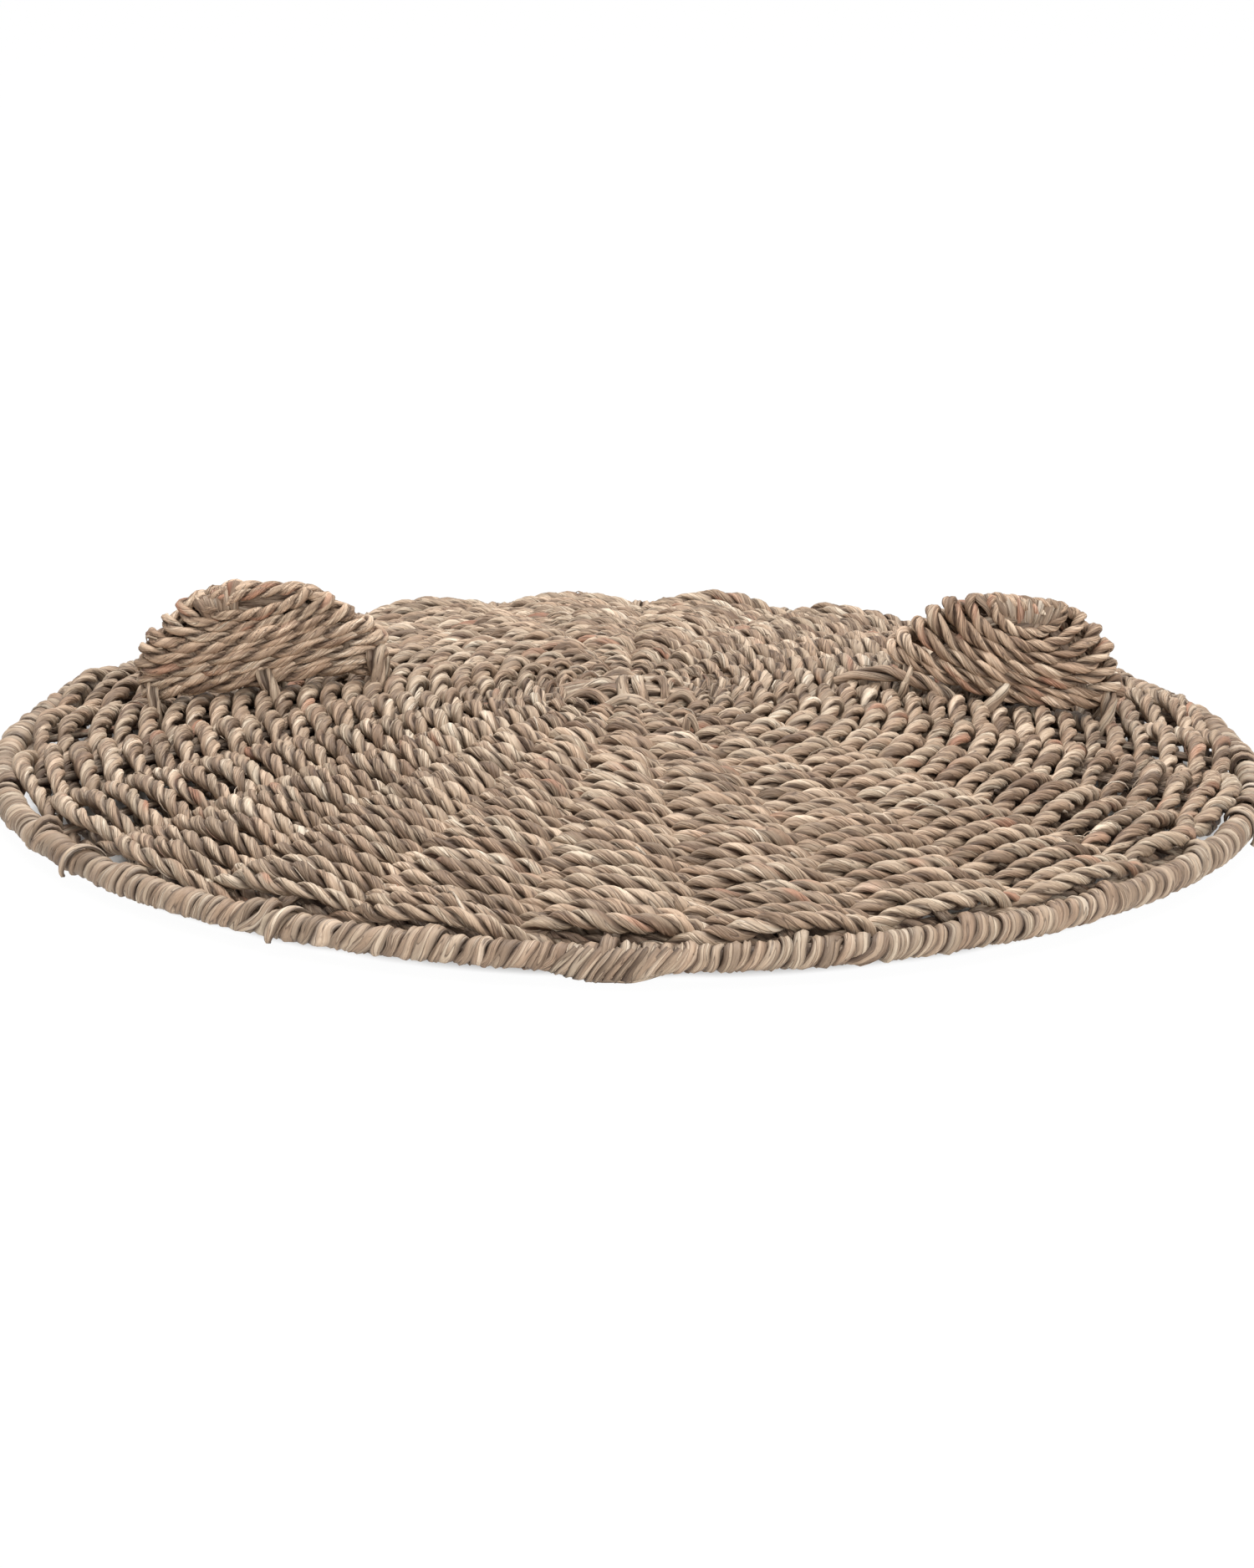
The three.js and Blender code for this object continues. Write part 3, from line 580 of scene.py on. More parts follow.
class LID_OT_weave_crown(bpy.types.Operator):
    """Weave the crown: one two-ply rope in a spiral, over one stake and under the next"""

    bl_idname = "lid.weave_crown"
    bl_label = "Weave crown"

    def execute(self, context):
        sizes = context.scene.lid_weave
        rng = np.random.default_rng(11)
        path, normal, down, phase, size, turn = crown_path(sizes, rng)
        material = seagrass("woven_seagrass_rope", brightness=1.05)
        turns, radii = row_radii(sizes)
        limits = np.searchsorted(turn, np.interp([low * MM for low in WEAVE_BANDS.values()], radii, turns))
        limits = [0, *limits[1:], len(path)]
        top = np.abs(phase)
        narrow = 0.78 + 0.22 * top**1.5
        tall = 1.12 - 0.22 * top
        # Painted shade: the rope is darker where it dives under a stake, as if in the stake's shade
        hollow = 0.5 * (1 - smooth_step(phase, -0.9, -0.1))
        for number, name in enumerate(WEAVE_BANDS):
            part = slice(max(0, limits[number] - 1), limits[number + 1])
            mesh = StrandMesh(seed=40 + number)
            radius = sizes.rope_radius * size[part]
            flat = [(down[part], narrow[part]), (normal[part], tall[part])]
            looks = {"hollow": hollow[part], "sliver_every": 55 * MM}
            rope(mesh, path[part], normal[part], radius, sizes.twist_length, flat=flat, **looks)
            mesh.finish(name, material, "root", "seagrass_rope", "woven_crown")
        return {"FINISHED"}


class LID_OT_lay_stakes(bpy.types.Operator):
    """Lay the stakes: two strands side by side from the middle to the hoop"""

    bl_idname = "lid.lay_stakes"
    bl_label = "Lay stakes"

    def execute(self, context):
        sizes = context.scene.lid_weave
        material = seagrass("dry_seagrass_stakes", brightness=0.86)
        mesh = StrandMesh(seed=5)
        outer = HOOP_RADIUS - 2.6 * MM
        radius = np.linspace(STAKES_START, outer, STAKE_POINTS)
        height = dome_height(sizes, radius)
        for index in range(STAKE_COUNT):
            base = FIRST_STAKE + index * STAKE_SPACING
            for side in (-1, 1):
                apart = 1 + 0.3 * wander(mesh.rng, outer, 30 * MM, STAKE_POINTS)
                angle = base + side * 1.15 * MM / radius * apart
                uneven = 0.3 * MM * wander(mesh.rng, outer, 25 * MM, STAKE_POINTS)
                path = polar(radius, angle, height + uneven)
                ply(mesh, path, UP, 1.35 * MM, 1.15 * MM, hollow=0.25, tone=0.45)
        mesh.finish("stake_strands", material, "root", "seagrass_stake", *STAKE_NODES)
        return {"FINISHED"}


class LID_OT_cross_centre(bpy.types.Operator):
    """Cross the middle: three flat bundles of strands over each other"""

    bl_idname = "lid.cross_centre"
    bl_label = "Cross centre"

    def execute(self, context):
        sizes = context.scene.lid_weave
        material = seagrass("crossed_seagrass_strands", brightness=0.95)
        mesh = StrandMesh(seed=8)
        along = np.linspace(-CENTRE_REACH, CENTRE_REACH, CENTRE_POINTS)
        for layer, degrees in enumerate(CENTRE_LAYERS):
            turn = math.radians(degrees)
            ahead = np.array([math.cos(turn), math.sin(turn)])
            aside = np.array([-math.sin(turn), math.cos(turn)])
            for strand in range(CENTRE_STRANDS):
                offset = (strand - CENTRE_STRANDS // 2) * 3.6 * MM
                offset = offset + 0.5 * MM * wander(mesh.rng, 2 * CENTRE_REACH, 15 * MM, CENTRE_POINTS)
                flat = along[:, None] * ahead + offset[:, None] * aside
                distance = np.hypot(flat[:, 0], flat[:, 1])
                arch = np.cos(np.clip(along / CENTRE_REACH, -1, 1) * np.pi / 2) ** 0.5
                height = dome_height(sizes, distance) + ((layer - 1) * 2.4 * MM) * arch
                path = np.concatenate([flat, height[:, None]], axis=1)
                ply(mesh, path, UP, 1.9 * MM, 1.25 * MM, hollow=0.1, tone=0.55)
        mesh.finish("centre_strands", material, "root", "seagrass_stake", "centre_crossing")
        return {"FINISHED"}


# Ends tucked in round the middle: start and end on the dome, top above the dome, and half the width, in mm
TUCKED_ENDS = {
    "strip_west": ((-15, -3), (-1, -6), 4.2, 2.3),
    "strip_front": ((-13, -8), (1, -12), 3.9, 2.1),
    "strip_back": ((-10, 6), (4, 9), 3.8, 2.0),
    "loop_west": ((-1, -15), (1, 4), 5.4, 2.1),
    "loop_middle": ((5, -13), (4.5, 5), 5.2, 2.1),
    "loop_back": ((6, 5), (11, -10), 5.0, 1.7),
    "curl_low": ((11, -7), (17, 2), 4.6, 1.6),
    "curl_high": ((17, 3), (11, 9), 4.8, 1.5),
    "cover_front": ((-9, -21), (8, -22), 3.6, 2.6),
    "cover_west": ((-20, -10), (-6, -17), 3.4, 2.2),
    "cover_right": ((11, -17), (22, -21), 5.4, 1.9),
    "knot_low": ((17.5, -46), (21.5, -39), 6.2, 1.6),
    "knot_high": ((21.5, -45), (17.5, -40), 6.4, 1.4),
}
TUCK_POINTS = 22
TUCK_BEND = 0.12  # sideways bend as a share of the length
TUCK_DEPTH = 2.2 * MM  # how deep the ends go in


class LID_OT_tuck_ends(bpy.types.Operator):
    """Tuck the ends in: strips, loops and a small knot that lie over the rows round the middle"""

    bl_idname = "lid.tuck_ends"
    bl_label = "Tuck ends"

    def execute(self, context):
        sizes = context.scene.lid_weave
        material = seagrass("tucked_seagrass_ends", brightness=0.98)
        mesh = StrandMesh(seed=14)
        share = np.linspace(0, 1, TUCK_POINTS)
        for first, last, top, half in TUCKED_ENDS.values():
            start, end = (np.array(point) * MM for point in (first, last))
            flat = start + share[:, None] * (end - start)
            aside = np.array([-(end - start)[1], (end - start)[0]])
            flat = flat + TUCK_BEND * aside * np.sin(np.pi * share)[:, None]
            distance = np.hypot(flat[:, 0], flat[:, 1])
            arch = np.sin(np.pi * share) ** 0.5
            arch = top * MM * arch - TUCK_DEPTH * (1 - arch)
            path = np.concatenate([flat, (dome_height(sizes, distance) + arch)[:, None]], axis=1)
            width = half * MM * (0.8 + 0.2 * np.sin(np.pi * share))
            looks = {"tone": 0.52 + 0.1 * mesh.rng.uniform(-1, 1), "russet": 0.3, "sliver_every": 20 * MM}
            ply(mesh, path, UP, width, 0.55 * half * MM + 0.4 * MM, **looks)
        mesh.finish("tucked_ends", material, "root", "seagrass_strand")
        return {"FINISHED"}


# Rim

CORE_POINTS = 361
CORE_DEPTH = 1.6 * MM  # how far the filling lies under the binding's surface; it is darkened with painted shade, since only the gaps between wraps show it
WRAP_STEPS = 20
WRAP_LENGTH = 28 * MM
LOOSE_WRAPS = 0.12  # share of the wraps that lean more
GRAB_ANGLE = math.radians(128)  # where round the hoop wraps reach in to the last row
SPLICE_PLIES = 7
RIBBON_SIDES = 12
RIBBON_SPREAD = 0.16


def wrap_angles(sizes, rng):
    """Where each wrap starts round the hoop and how wide it is, as shares of the mean."""
    widths = 1 + 0.32 * rng.uniform(-1, 1, sizes.wrap_count)
    starts = np.concatenate([[0], np.cumsum(widths)])
    return SPLICE_ANGLE + 2 * np.pi * starts / starts[-1], widths


def ribbon(mesh, path, out, wide, thick, tilt, tone, folds=3):
    """A flat strand along a path, with a few lengthwise folds on its outer side."""
    rng = mesh.rng
    count = len(path)
    length = lengths_along(path)
    side, up = frames_along(path, out)
    around = angles_round(RIBBON_SIDES)
    across = np.cos(around)
    shift = rng.uniform(0, 6.28) + 1.6 * wander(rng, length[-1], 9 * MM, count)[:, None]
    fold = 1 + 0.32 * np.cos(folds * np.pi * across + shift)
    rise = np.sin(around) * np.where(np.sin(around) > 0, fold, 0.8)
    flat = np.broadcast_to(wide, count)[:, None] * across
    high = thick * rise + tilt * flat
    rings = path[:, None] + flat[..., None] * side[:, None] + high[..., None] * up[:, None]
    # Painted shade: the creases between folds and both sides of each wrap, where it meets the next, are
    # darkened as shade would fall there
    crease = np.clip(1.2 * (1.0 - fold), 0, 0.45)
    painted_shade_sum = np.clip(crease + 0.95 * np.abs(across) ** 3, 0, 1)
    tones = tone + RIBBON_SPREAD * wander(rng, length[-1], 14 * MM, count)[:, None]
    tones = tones + 0.8 * RIBBON_SPREAD * np.interp(across, np.linspace(-1, 1, 5), rng.uniform(-1, 1, 5))
    warm = 0.55 + 0.4 * rng.uniform(-1, 1)
    mesh.add(rings, length, around, breadth=3.0, tone=tones, warmth=warm, hollow=painted_shade_sum)


class LID_OT_bind_rim(bpy.types.Operator):
    """Bind the rim: a flat strand wound round the hoop, the stake ends and the last row"""

    bl_idname = "lid.bind_rim"
    bl_label = "Bind rim"

    def execute(self, context):
        sizes = context.scene.lid_rim
        material = seagrass("wound_seagrass_strand", brightness=0.92, gloss=0.56)
        mesh = StrandMesh(seed=3)
        rng = mesh.rng
        starts, widths = wrap_angles(sizes, rng)
        core = polar(HOOP_RADIUS, np.linspace(0, 2 * np.pi, CORE_POINTS), HOOP_HEIGHT)
        core_radius = BINDING_RADIUS - CORE_DEPTH
        # Painted shade: the filling gets a low tone and a painted shade of 0.6, standing in for the shade in
        # the gaps between wraps
        ply(mesh, core, UP, core_radius, core_radius, hollow=0.6, tone=0.3)

        def vary(every):
            return wander(rng, WRAP_LENGTH, every, WRAP_STEPS + 1)

        turn = np.linspace(-0.04, 1.04, WRAP_STEPS + 1)
        around = 2 * np.pi * turn - np.pi / 2
        mean = 2 * np.pi * HOOP_RADIUS / sizes.wrap_count
        for index in range(sizes.wrap_count):
            middle = (starts[index] + starts[index + 1]) / 2
            lean = sizes.slant * (1 + 0.8 * rng.uniform(-1, 1)) * (2.2 if rng.uniform() < LOOSE_WRAPS else 1)
            angle = starts[index] + (starts[index + 1] - starts[index]) * turn
            rise = np.sin(around)
            angle = angle + lean * np.where(rise < 0, 1.7 * rise, 0.5 * rise) / HOOP_RADIUS
            angle = angle + 0.65 * MM * vary(7 * MM) / HOOP_RADIUS
            near = np.abs((middle - FIRST_STAKE + STAKE_SPACING / 2) % STAKE_SPACING - STAKE_SPACING / 2)
            grab = (1 - smooth_step(near, 0.006, 0.03)) * (0.45 + 0.55 * rng.uniform())
            reach = np.clip(np.cos(around - GRAB_ANGLE), 0, 1) ** 1.5
            body = BINDING_RADIUS - 0.5 * sizes.strand_thickness + 0.22 * MM * rng.uniform(-1, 0.5)
            radius = body + grab * sizes.grab_reach * reach
            radius = radius + 0.4 * MM * vary(7 * MM)
            path, out = round_rim(radius, around, angle)
            path[:, 2] = np.maximum(path[:, 2], RIM_LOW.z + 0.9 * MM)
            wide = 0.5 * mean * widths[index] * (1.06 + 0.2 * vary(6 * MM))
            thick = 0.5 * sizes.strand_thickness * (1 + 0.2 * rng.uniform(-1, 1))
            tone = 0.58 + 0.06 * rng.uniform(-1, 1)
            tilt = 0.16 * rng.uniform(-1, 1.5)
            ribbon(mesh, path, out, wide, thick, tilt, tone, folds=rng.integers(1, 4))
        mesh.finish("rim_wraps", material, "root", "seagrass_binding", "rim_binding")
        return {"FINISHED"}


class LID_OT_wind_splice(bpy.types.Operator):
    """Wind the splice: a second layer of wraps over the strand ends under the front of the rim"""

    bl_idname = "lid.wind_splice"
    bl_label = "Wind splice"

    def execute(self, context):
        sizes = context.scene.lid_rim
        material = seagrass("spliced_seagrass_strand", brightness=0.9, gloss=0.6)
        mesh = StrandMesh(seed=21)
        rng = mesh.rng
        half = 0.5 * sizes.splice_length / HOOP_RADIUS
        lowest = HOOP_HEIGHT - SPLICE_LOW.z

        def bulge(inner, margin, fullness, around):
            """Distance from the hoop's middle line. It grows under the rim to a margin over the floor."""
            drop = np.clip(-np.sin(around), 0, 1) ** 2.2
            return inner + (lowest - inner - margin) * fullness * drop

        around = np.radians(np.linspace(-168, 48, 20))
        share = np.linspace(-0.92, 0.92, sizes.splice_wraps) + 0.02
        for place in share:
            fullness = np.clip(1.2 * np.cos(np.pi / 2 * (place - 0.02)) ** 1.5, 0.05, 1)
            radius = bulge(BINDING_RADIUS - 0.7 * MM, 1.1 * MM, fullness, around)
            above = 1 - np.clip(-np.sin(around), 0, 1) ** 2.2
            radius = radius + 0.9 * MM * fullness * above * smooth_step(-around, -0.83, 0.0)
            angle = SPLICE_ANGLE + place * half + (np.sin(around) + 0.4) * 4.2 * MM / HOOP_RADIUS
            angle = angle + 0.5 * MM * wander(rng, 30 * MM, 8 * MM, len(around)) / HOOP_RADIUS
            path, out = round_rim(radius, around, angle)
            tone = 0.55 + 0.08 * rng.uniform(-1, 1)
            ribbon(mesh, path, out, rng.uniform(1.7, 2.6) * MM, 0.8 * MM, tilt=0.14, tone=tone, folds=2)
        for strand in range(SPLICE_PLIES):
            spread = math.radians(-140 + 17 * strand)
            run = np.linspace(-0.75, 0.75, 24)
            fullness = np.clip(1.15 * np.cos(np.pi / 2 * run) ** 1.5, 0, 1)
            radius = bulge(BINDING_RADIUS - 1.2 * MM, 0.85 * MM, fullness, spread)
            path, out = round_rim(radius, spread, SPLICE_ANGLE + (run + 0.02) * half)
            ply(mesh, path, out, 1.2 * MM * np.cos(1.4 * run), 0.8 * MM, hollow=0.1, tone=0.6)
        mesh.finish("splice_wraps", material, "root", "seagrass_binding", "rim_splice")
        return {"FINISHED"}


# Where the tails hang round the rim, in degrees
TAIL_ANGLES = {"rim_tail_left": -144.5, "rim_tail_front": -118.6, "rim_tail_right": -16}
TAIL_POINTS = 26


class LID_OT_hang_tails(bpy.types.Operator):
    """Hang the tails: strand ends that come up through the edge and fold down over the rim"""

    bl_idname = "lid.hang_tails"
    bl_label = "Hang tails"

    def execute(self, context):
        material = seagrass("loose_seagrass_ends", brightness=1.05, gloss=0.58)
        clear = BINDING_RADIUS + 0.9 * MM
        for seed, (name, degrees) in enumerate(TAIL_ANGLES.items()):
            mesh = StrandMesh(seed=60 + seed)
            around = np.radians(np.linspace(165, -42, TAIL_POINTS))
            share = np.linspace(0, 1, TAIL_POINTS)
            radius = clear + 0.7 * MM * smooth_step(share, 0.75, 1.0)
            angle = math.radians(degrees) - share * math.radians(2.2)
            path, out = round_rim(radius, around, angle)
            wide = 2.0 * MM * (1 - 0.45 * smooth_step(share, 0.8, 1.0))
            ribbon(mesh, path, out, wide, 0.7 * MM, tone=0.62, tilt=0.12)
            mesh.finish(name + "_strand", material, "root", "seagrass_strand", name)
        return {"FINISHED"}


# Ears: places and sizes in mm, angles in degrees. west and east are where rows turn back, as distance from
# the ear's middle and height over its foot, from the pole down to the foot. front is the rows' height there

EARS = {
    "left": {
        "place": (-114.4, 17), "lean": -2, "raise": 0, "depth": 14, "pole": (-9, -3, 28.5), "crest": 33,
        "west": [(-9, 28.5), (-17, 30.5), (-23.5, 27.8), (-29.5, 23.5), (-34, 19), (-37.3, 14), (-38.4, 9),
                 (-37, 3)],
        "east": [(-9, 28.5), (18, 27.4), (25, 22.4), (30.5, 16.8), (36, 10), (37.8, 5.4), (34, 1.6),
                 (31, -0.6)],
        "front": (28.5, 22.8, 19.4, 16.0, 12.6, 9.2, 5.8, 2.5),
        "turn": -1, "courses": 8, "rope": 2.15, "twist": 21, "tight_twist": 13, "tone": 0.52,
        "hood": (-17, -5, 5), "ties": (-36, 0.8, 35.5), "tie_slant": -2.2,
        "tie_sizes": (0.95, 1.25, 1.45), "tie_feet": (1.5, 1.8, 1.0), "seed": 71,
    },
    "right": {
        "place": (117.3, 22), "lean": 3.3, "raise": 1.7, "depth": 22, "pole": (7, -1.5, 24), "crest": 29.5,
        "west": [(7, 24), (-9, 27), (-17, 24.6), (-22.5, 20.4), (-27.5, 15), (-32, 9.4), (-35.5, 3.8)],
        "east": [(7, 24), (15, 28.6), (21, 26.4), (27, 22), (31.5, 16), (35, 10), (37.5, 5)],
        "front": (24, 18.3, 14.4, 10.5, 6.7, 2.9, -0.7),
        "turn": 1, "courses": 7, "rope": 2.05, "twist": 18, "tight_twist": 8, "tone": 0.52,
        "hood": (-13, 13, 9), "ties": (-30, -1.2, 34.5), "tie_slant": 2.2,
        "tie_sizes": (0.8, 1.35, 1.3), "tie_feet": (-3.5, -1.2, 1.0), "seed": 72,
    },
}
FOOT_GAP = 2.4 * MM  # between an ear's foot and the stakes' ridges on the dome
RIDGE_HEIGHT = 5.6 * MM
EAR_POINTS = 900
EAR_ROPE_STEP = 0.85 * MM
EAR_ROWS = (0.015, 0.985)  # first and last share that the rope takes of the way from pole to foot
RIDGE_SHARE = 0.28  # share of the way to the foot in which the rows reach the ear's outline


def ear_matrix(sizes, ear, own=False):
    """Turns an ear's frame, with its foot's middle at the origin, into the lid's. own adds its extra lean."""
    x, y = (value * MM for value in ear["place"])
    radius = math.hypot(x, y)
    height = float(dome_height(sizes, radius)) + RIDGE_HEIGHT + FOOT_GAP
    lean = float(dome_slope(sizes, radius)) * math.copysign(1, x)
    if own:
        height += ear["raise"] * MM
        lean += math.radians(ear["lean"])
    return Matrix.Translation((x, y, height)) @ Matrix.Rotation(lean, 4, "Y")


def turned(matrix, vectors):
    return vectors @ np.array(matrix.to_3x3()).T


def transformed(matrix, points):
    return turned(matrix, points) + np.array(matrix.translation)


def ear_rows(ear, share):
    """Where rows turn back at either end, and their height in front, at a share of the way to the foot."""
    rows = np.arange(len(ear["front"]))
    row = share * rows[-1]
    ends = (np.transpose(ear[end]) * MM for end in ("west", "east"))
    west, east = ([np.interp(row, rows, values) for values in end] for end in ends)
    return west, east, np.interp(row, rows, np.array(ear["front"]) * MM)


def ear_outline(ear, x):
    """Height of an ear's outline over its foot. Rows that turn back inside a wider row above don't count."""

    def widest(rows, out):
        return [row for i, row in enumerate(rows) if all(out * row[0] > out * above[0] for above in rows[:i])]

    middle = (ear["pole"][0] + 5, ear["crest"])
    points = [*widest(ear["west"], -1)[:0:-1], middle, *widest(ear["east"], 1)[1:]]
    return np.interp(x, *(np.transpose(points) * MM))


def ear_point(ear, foot, share, turn):
    """A point of the surface that an ear's rope follows. share runs from pole to foot, turn round the ear."""
    share, turn = np.broadcast_arrays(share, turn)
    west, east, front_z = ear_rows(ear, share)
    x = (west[0] + east[0]) / 2 + (east[0] - west[0]) / 2 * np.cos(turn)
    front = np.clip(-np.sin(turn), 0, 1)
    back = np.clip(np.sin(turn), 0, 1)
    risen = smooth_step(share, 0.0, RIDGE_SHARE)
    fallen = np.clip((share - RIDGE_SHARE) / (1 - RIDGE_SHARE), 0, 1) * back**0.8
    level = (west[1] + east[1]) / 2 + (east[1] - west[1]) / 2 * np.cos(turn)
    outline = np.maximum(level, ear_outline(ear, x) * risen + level * (1 - risen))
    back_z = outline * (1 - fallen) + foot * fallen
    shape = front**1.3
    z = np.where(front > 0, level * (1 - shape) + front_z * shape, back_z)
    reach = ear["depth"] / 2 * MM - foot
    pole_y = ear["pole"][1] * MM
    front_y = pole_y + (-reach - 1.2 * MM * np.sin(np.pi * share) - pole_y) * np.sin(np.pi / 2 * share**0.8)
    side_y = pole_y * (1 - risen)
    y = side_y + (front_y - side_y) * front**0.8 + (reach + 1.0 * MM) * np.sin(np.pi / 2 * fallen**0.6)
    return np.stack([x, y, z], -1)


def ear_normal(ear, foot, share, turn):
    """Direction out of the ear's surface."""
    small = 0.01
    round_it = ear_point(ear, foot, share, turn + small) - ear_point(ear, foot, share, turn - small)
    down_it = ear_point(ear, foot, share + small, turn) - ear_point(ear, foot, share - small, turn)
    return unit(np.cross(down_it, round_it))


class LID_OT_weave_ears(bpy.types.Operator):
    """Weave the ears: rope in level courses round a pole, over and under short stakes"""

    bl_idname = "lid.weave_ears"
    bl_label = "Weave ears"

    def execute(self, context):
        sizes = context.scene.lid_ears
        crown = context.scene.lid_weave
        # Painted light: the ears' seagrass is made lighter than the crown's, to make up for the little light
        # that their upright faces get
        material = seagrass("woven_seagrass_ear", brightness=1.18)
        for side, ear in EARS.items():
            mesh = StrandMesh(seed=ear["seed"])
            matrix = ear_matrix(crown, ear, own=True)
            foot = ear["rope"] * MM
            turn = np.linspace(0.1, ear["courses"] + 0.1, EAR_POINTS)
            level = np.floor(turn) + smooth_step(turn % 1.0, 0.08, 0.42)
            share = np.clip(level / ear["courses"] + EAR_ROWS[0], *EAR_ROWS)
            angle = ear["turn"] * 2 * np.pi * turn + (0 if ear["turn"] > 0 else np.pi)
            weave = 0.8 * MM * np.cos(0.5 * sizes.stakes * 2 * np.pi * turn)
            weave = weave * smooth_step(share, 0.1, 0.5)
            weave = weave + 0.5 * MM * wander(mesh.rng, 1.0, 25 * MM, EAR_POINTS)
            share = np.clip(share + 0.012 * wander(mesh.rng, 1.0, 20 * MM, EAR_POINTS), *EAR_ROWS)
            normal = ear_normal(ear, foot, share, angle)
            path = ear_point(ear, foot, share, angle) + weave[:, None] * normal
            path = transformed(matrix, path)
            normal = turned(matrix, normal)
            run = lengths_along(path)
            even = np.linspace(0, run[-1], int(run[-1] / EAR_ROPE_STEP))
            path, normal = sample(even, run, path), unit(sample(even, run, normal))
            front = smooth_step(-np.sin(np.interp(even, run, angle)), -0.2, 0.6)
            grown = smooth_step(np.interp(even, run, share), 0.1, 0.6)
            twist = (ear["tight_twist"] + (ear["twist"] - ear["tight_twist"]) * front * grown) * MM
            radius = sizes.fullness * foot * (0.85 + 0.15 * grown)
            looks = {"tone": ear["tone"], "warmth": 0.85, "russet": 0.7, "sliver_every": 50 * MM}
            rope(mesh, path, normal, radius, twist, turn=ear["turn"], **looks)
            node_name = f"ear_{side}"
            mesh.finish(f"ear_{side}_rope", material, node_name, "seagrass_ear", node_name)
        return {"FINISHED"}


class LID_OT_set_ear_stakes(bpy.types.Operator):
    """Set the ears' short stakes, which run from the pole to the foot inside the courses"""

    bl_idname = "lid.set_ear_stakes"
    bl_label = "Set ear stakes"

    def execute(self, context):
        sizes = context.scene.lid_ears
        crown = context.scene.lid_weave
        material = seagrass("short_seagrass_stakes", brightness=0.72)
        for side, ear in EARS.items():
            mesh = StrandMesh(seed=ear["seed"] + 10)
            matrix = ear_matrix(crown, ear, own=True)
            foot = ear["rope"] * MM
            share = np.linspace(0.02, 0.97, 22)
            half = sizes.stakes // 2
            steps = 0.5 + 0.17 * (np.arange(half) - 1.5)
            for angle in np.pi * np.concatenate([-steps, steps]):
                normal = ear_normal(ear, foot, share, angle)
                path = transformed(matrix, ear_point(ear, foot, share, angle) - 1.0 * MM * normal)
                ply(mesh, path, turned(matrix, normal), 1.9 * MM, 1.0 * MM, hollow=0.35, tone=0.45)
            self.lay_hood(mesh, ear, matrix)
            mesh.finish(f"ear_{side}_stakes", material, f"ear_{side}", "seagrass_ear")
        return {"FINISHED"}

    def lay_hood(self, mesh, ear, matrix):
        """Short strands side by side that come over the top of the ear and go down into its pole."""
        pole = np.array(ear["pole"]) * MM
        west, east, count = ear["hood"]
        for x in np.linspace(west, east, count) * MM:
            top = ear_outline(ear, x)
            low = pole[0] + 0.55 * (x - pole[0])
            corners = [(x, 2.4 * MM, top - 3 * MM), (x, 1.0 * MM, top + 0.4 * MM)]
            corners += [(x, -1.2 * MM, top + 0.2 * MM)]
            corners += [(0.6 * x + 0.4 * low, pole[1] - 0.8 * MM, pole[2] + 0.5 * MM)]
            corners += [(low, pole[1] + 0.8 * MM, pole[2] - 6 * MM)]
            path = through(corners, 22)
            round_corners(path, 2)
            out = turned(matrix, unit(path - np.array([x, 3 * MM, pole[2] - 3 * MM])))
            tone = ear["tone"] + 0.12 + 0.16 * mesh.rng.uniform(-1, 1)
            looks = {"hollow": 0.15, "tone": tone, "warmth": 1.0, "russet": 0.8}
            ply(mesh, transformed(matrix, path), out, 1.8 * MM, 1.0 * MM, **looks)


STITCHES = {"west": -1, "middle": 0, "east": 1}
STITCH_POINTS = 60
# Corners of the right ear's rope end, in mm in the ear's frame
ROPE_END = [(-12, -9, -6), (-19, -10, -1), (-28, -8, 1.5), (-38, -5, 0.5), (-47, -4, -2), (-53, -4, -7)]


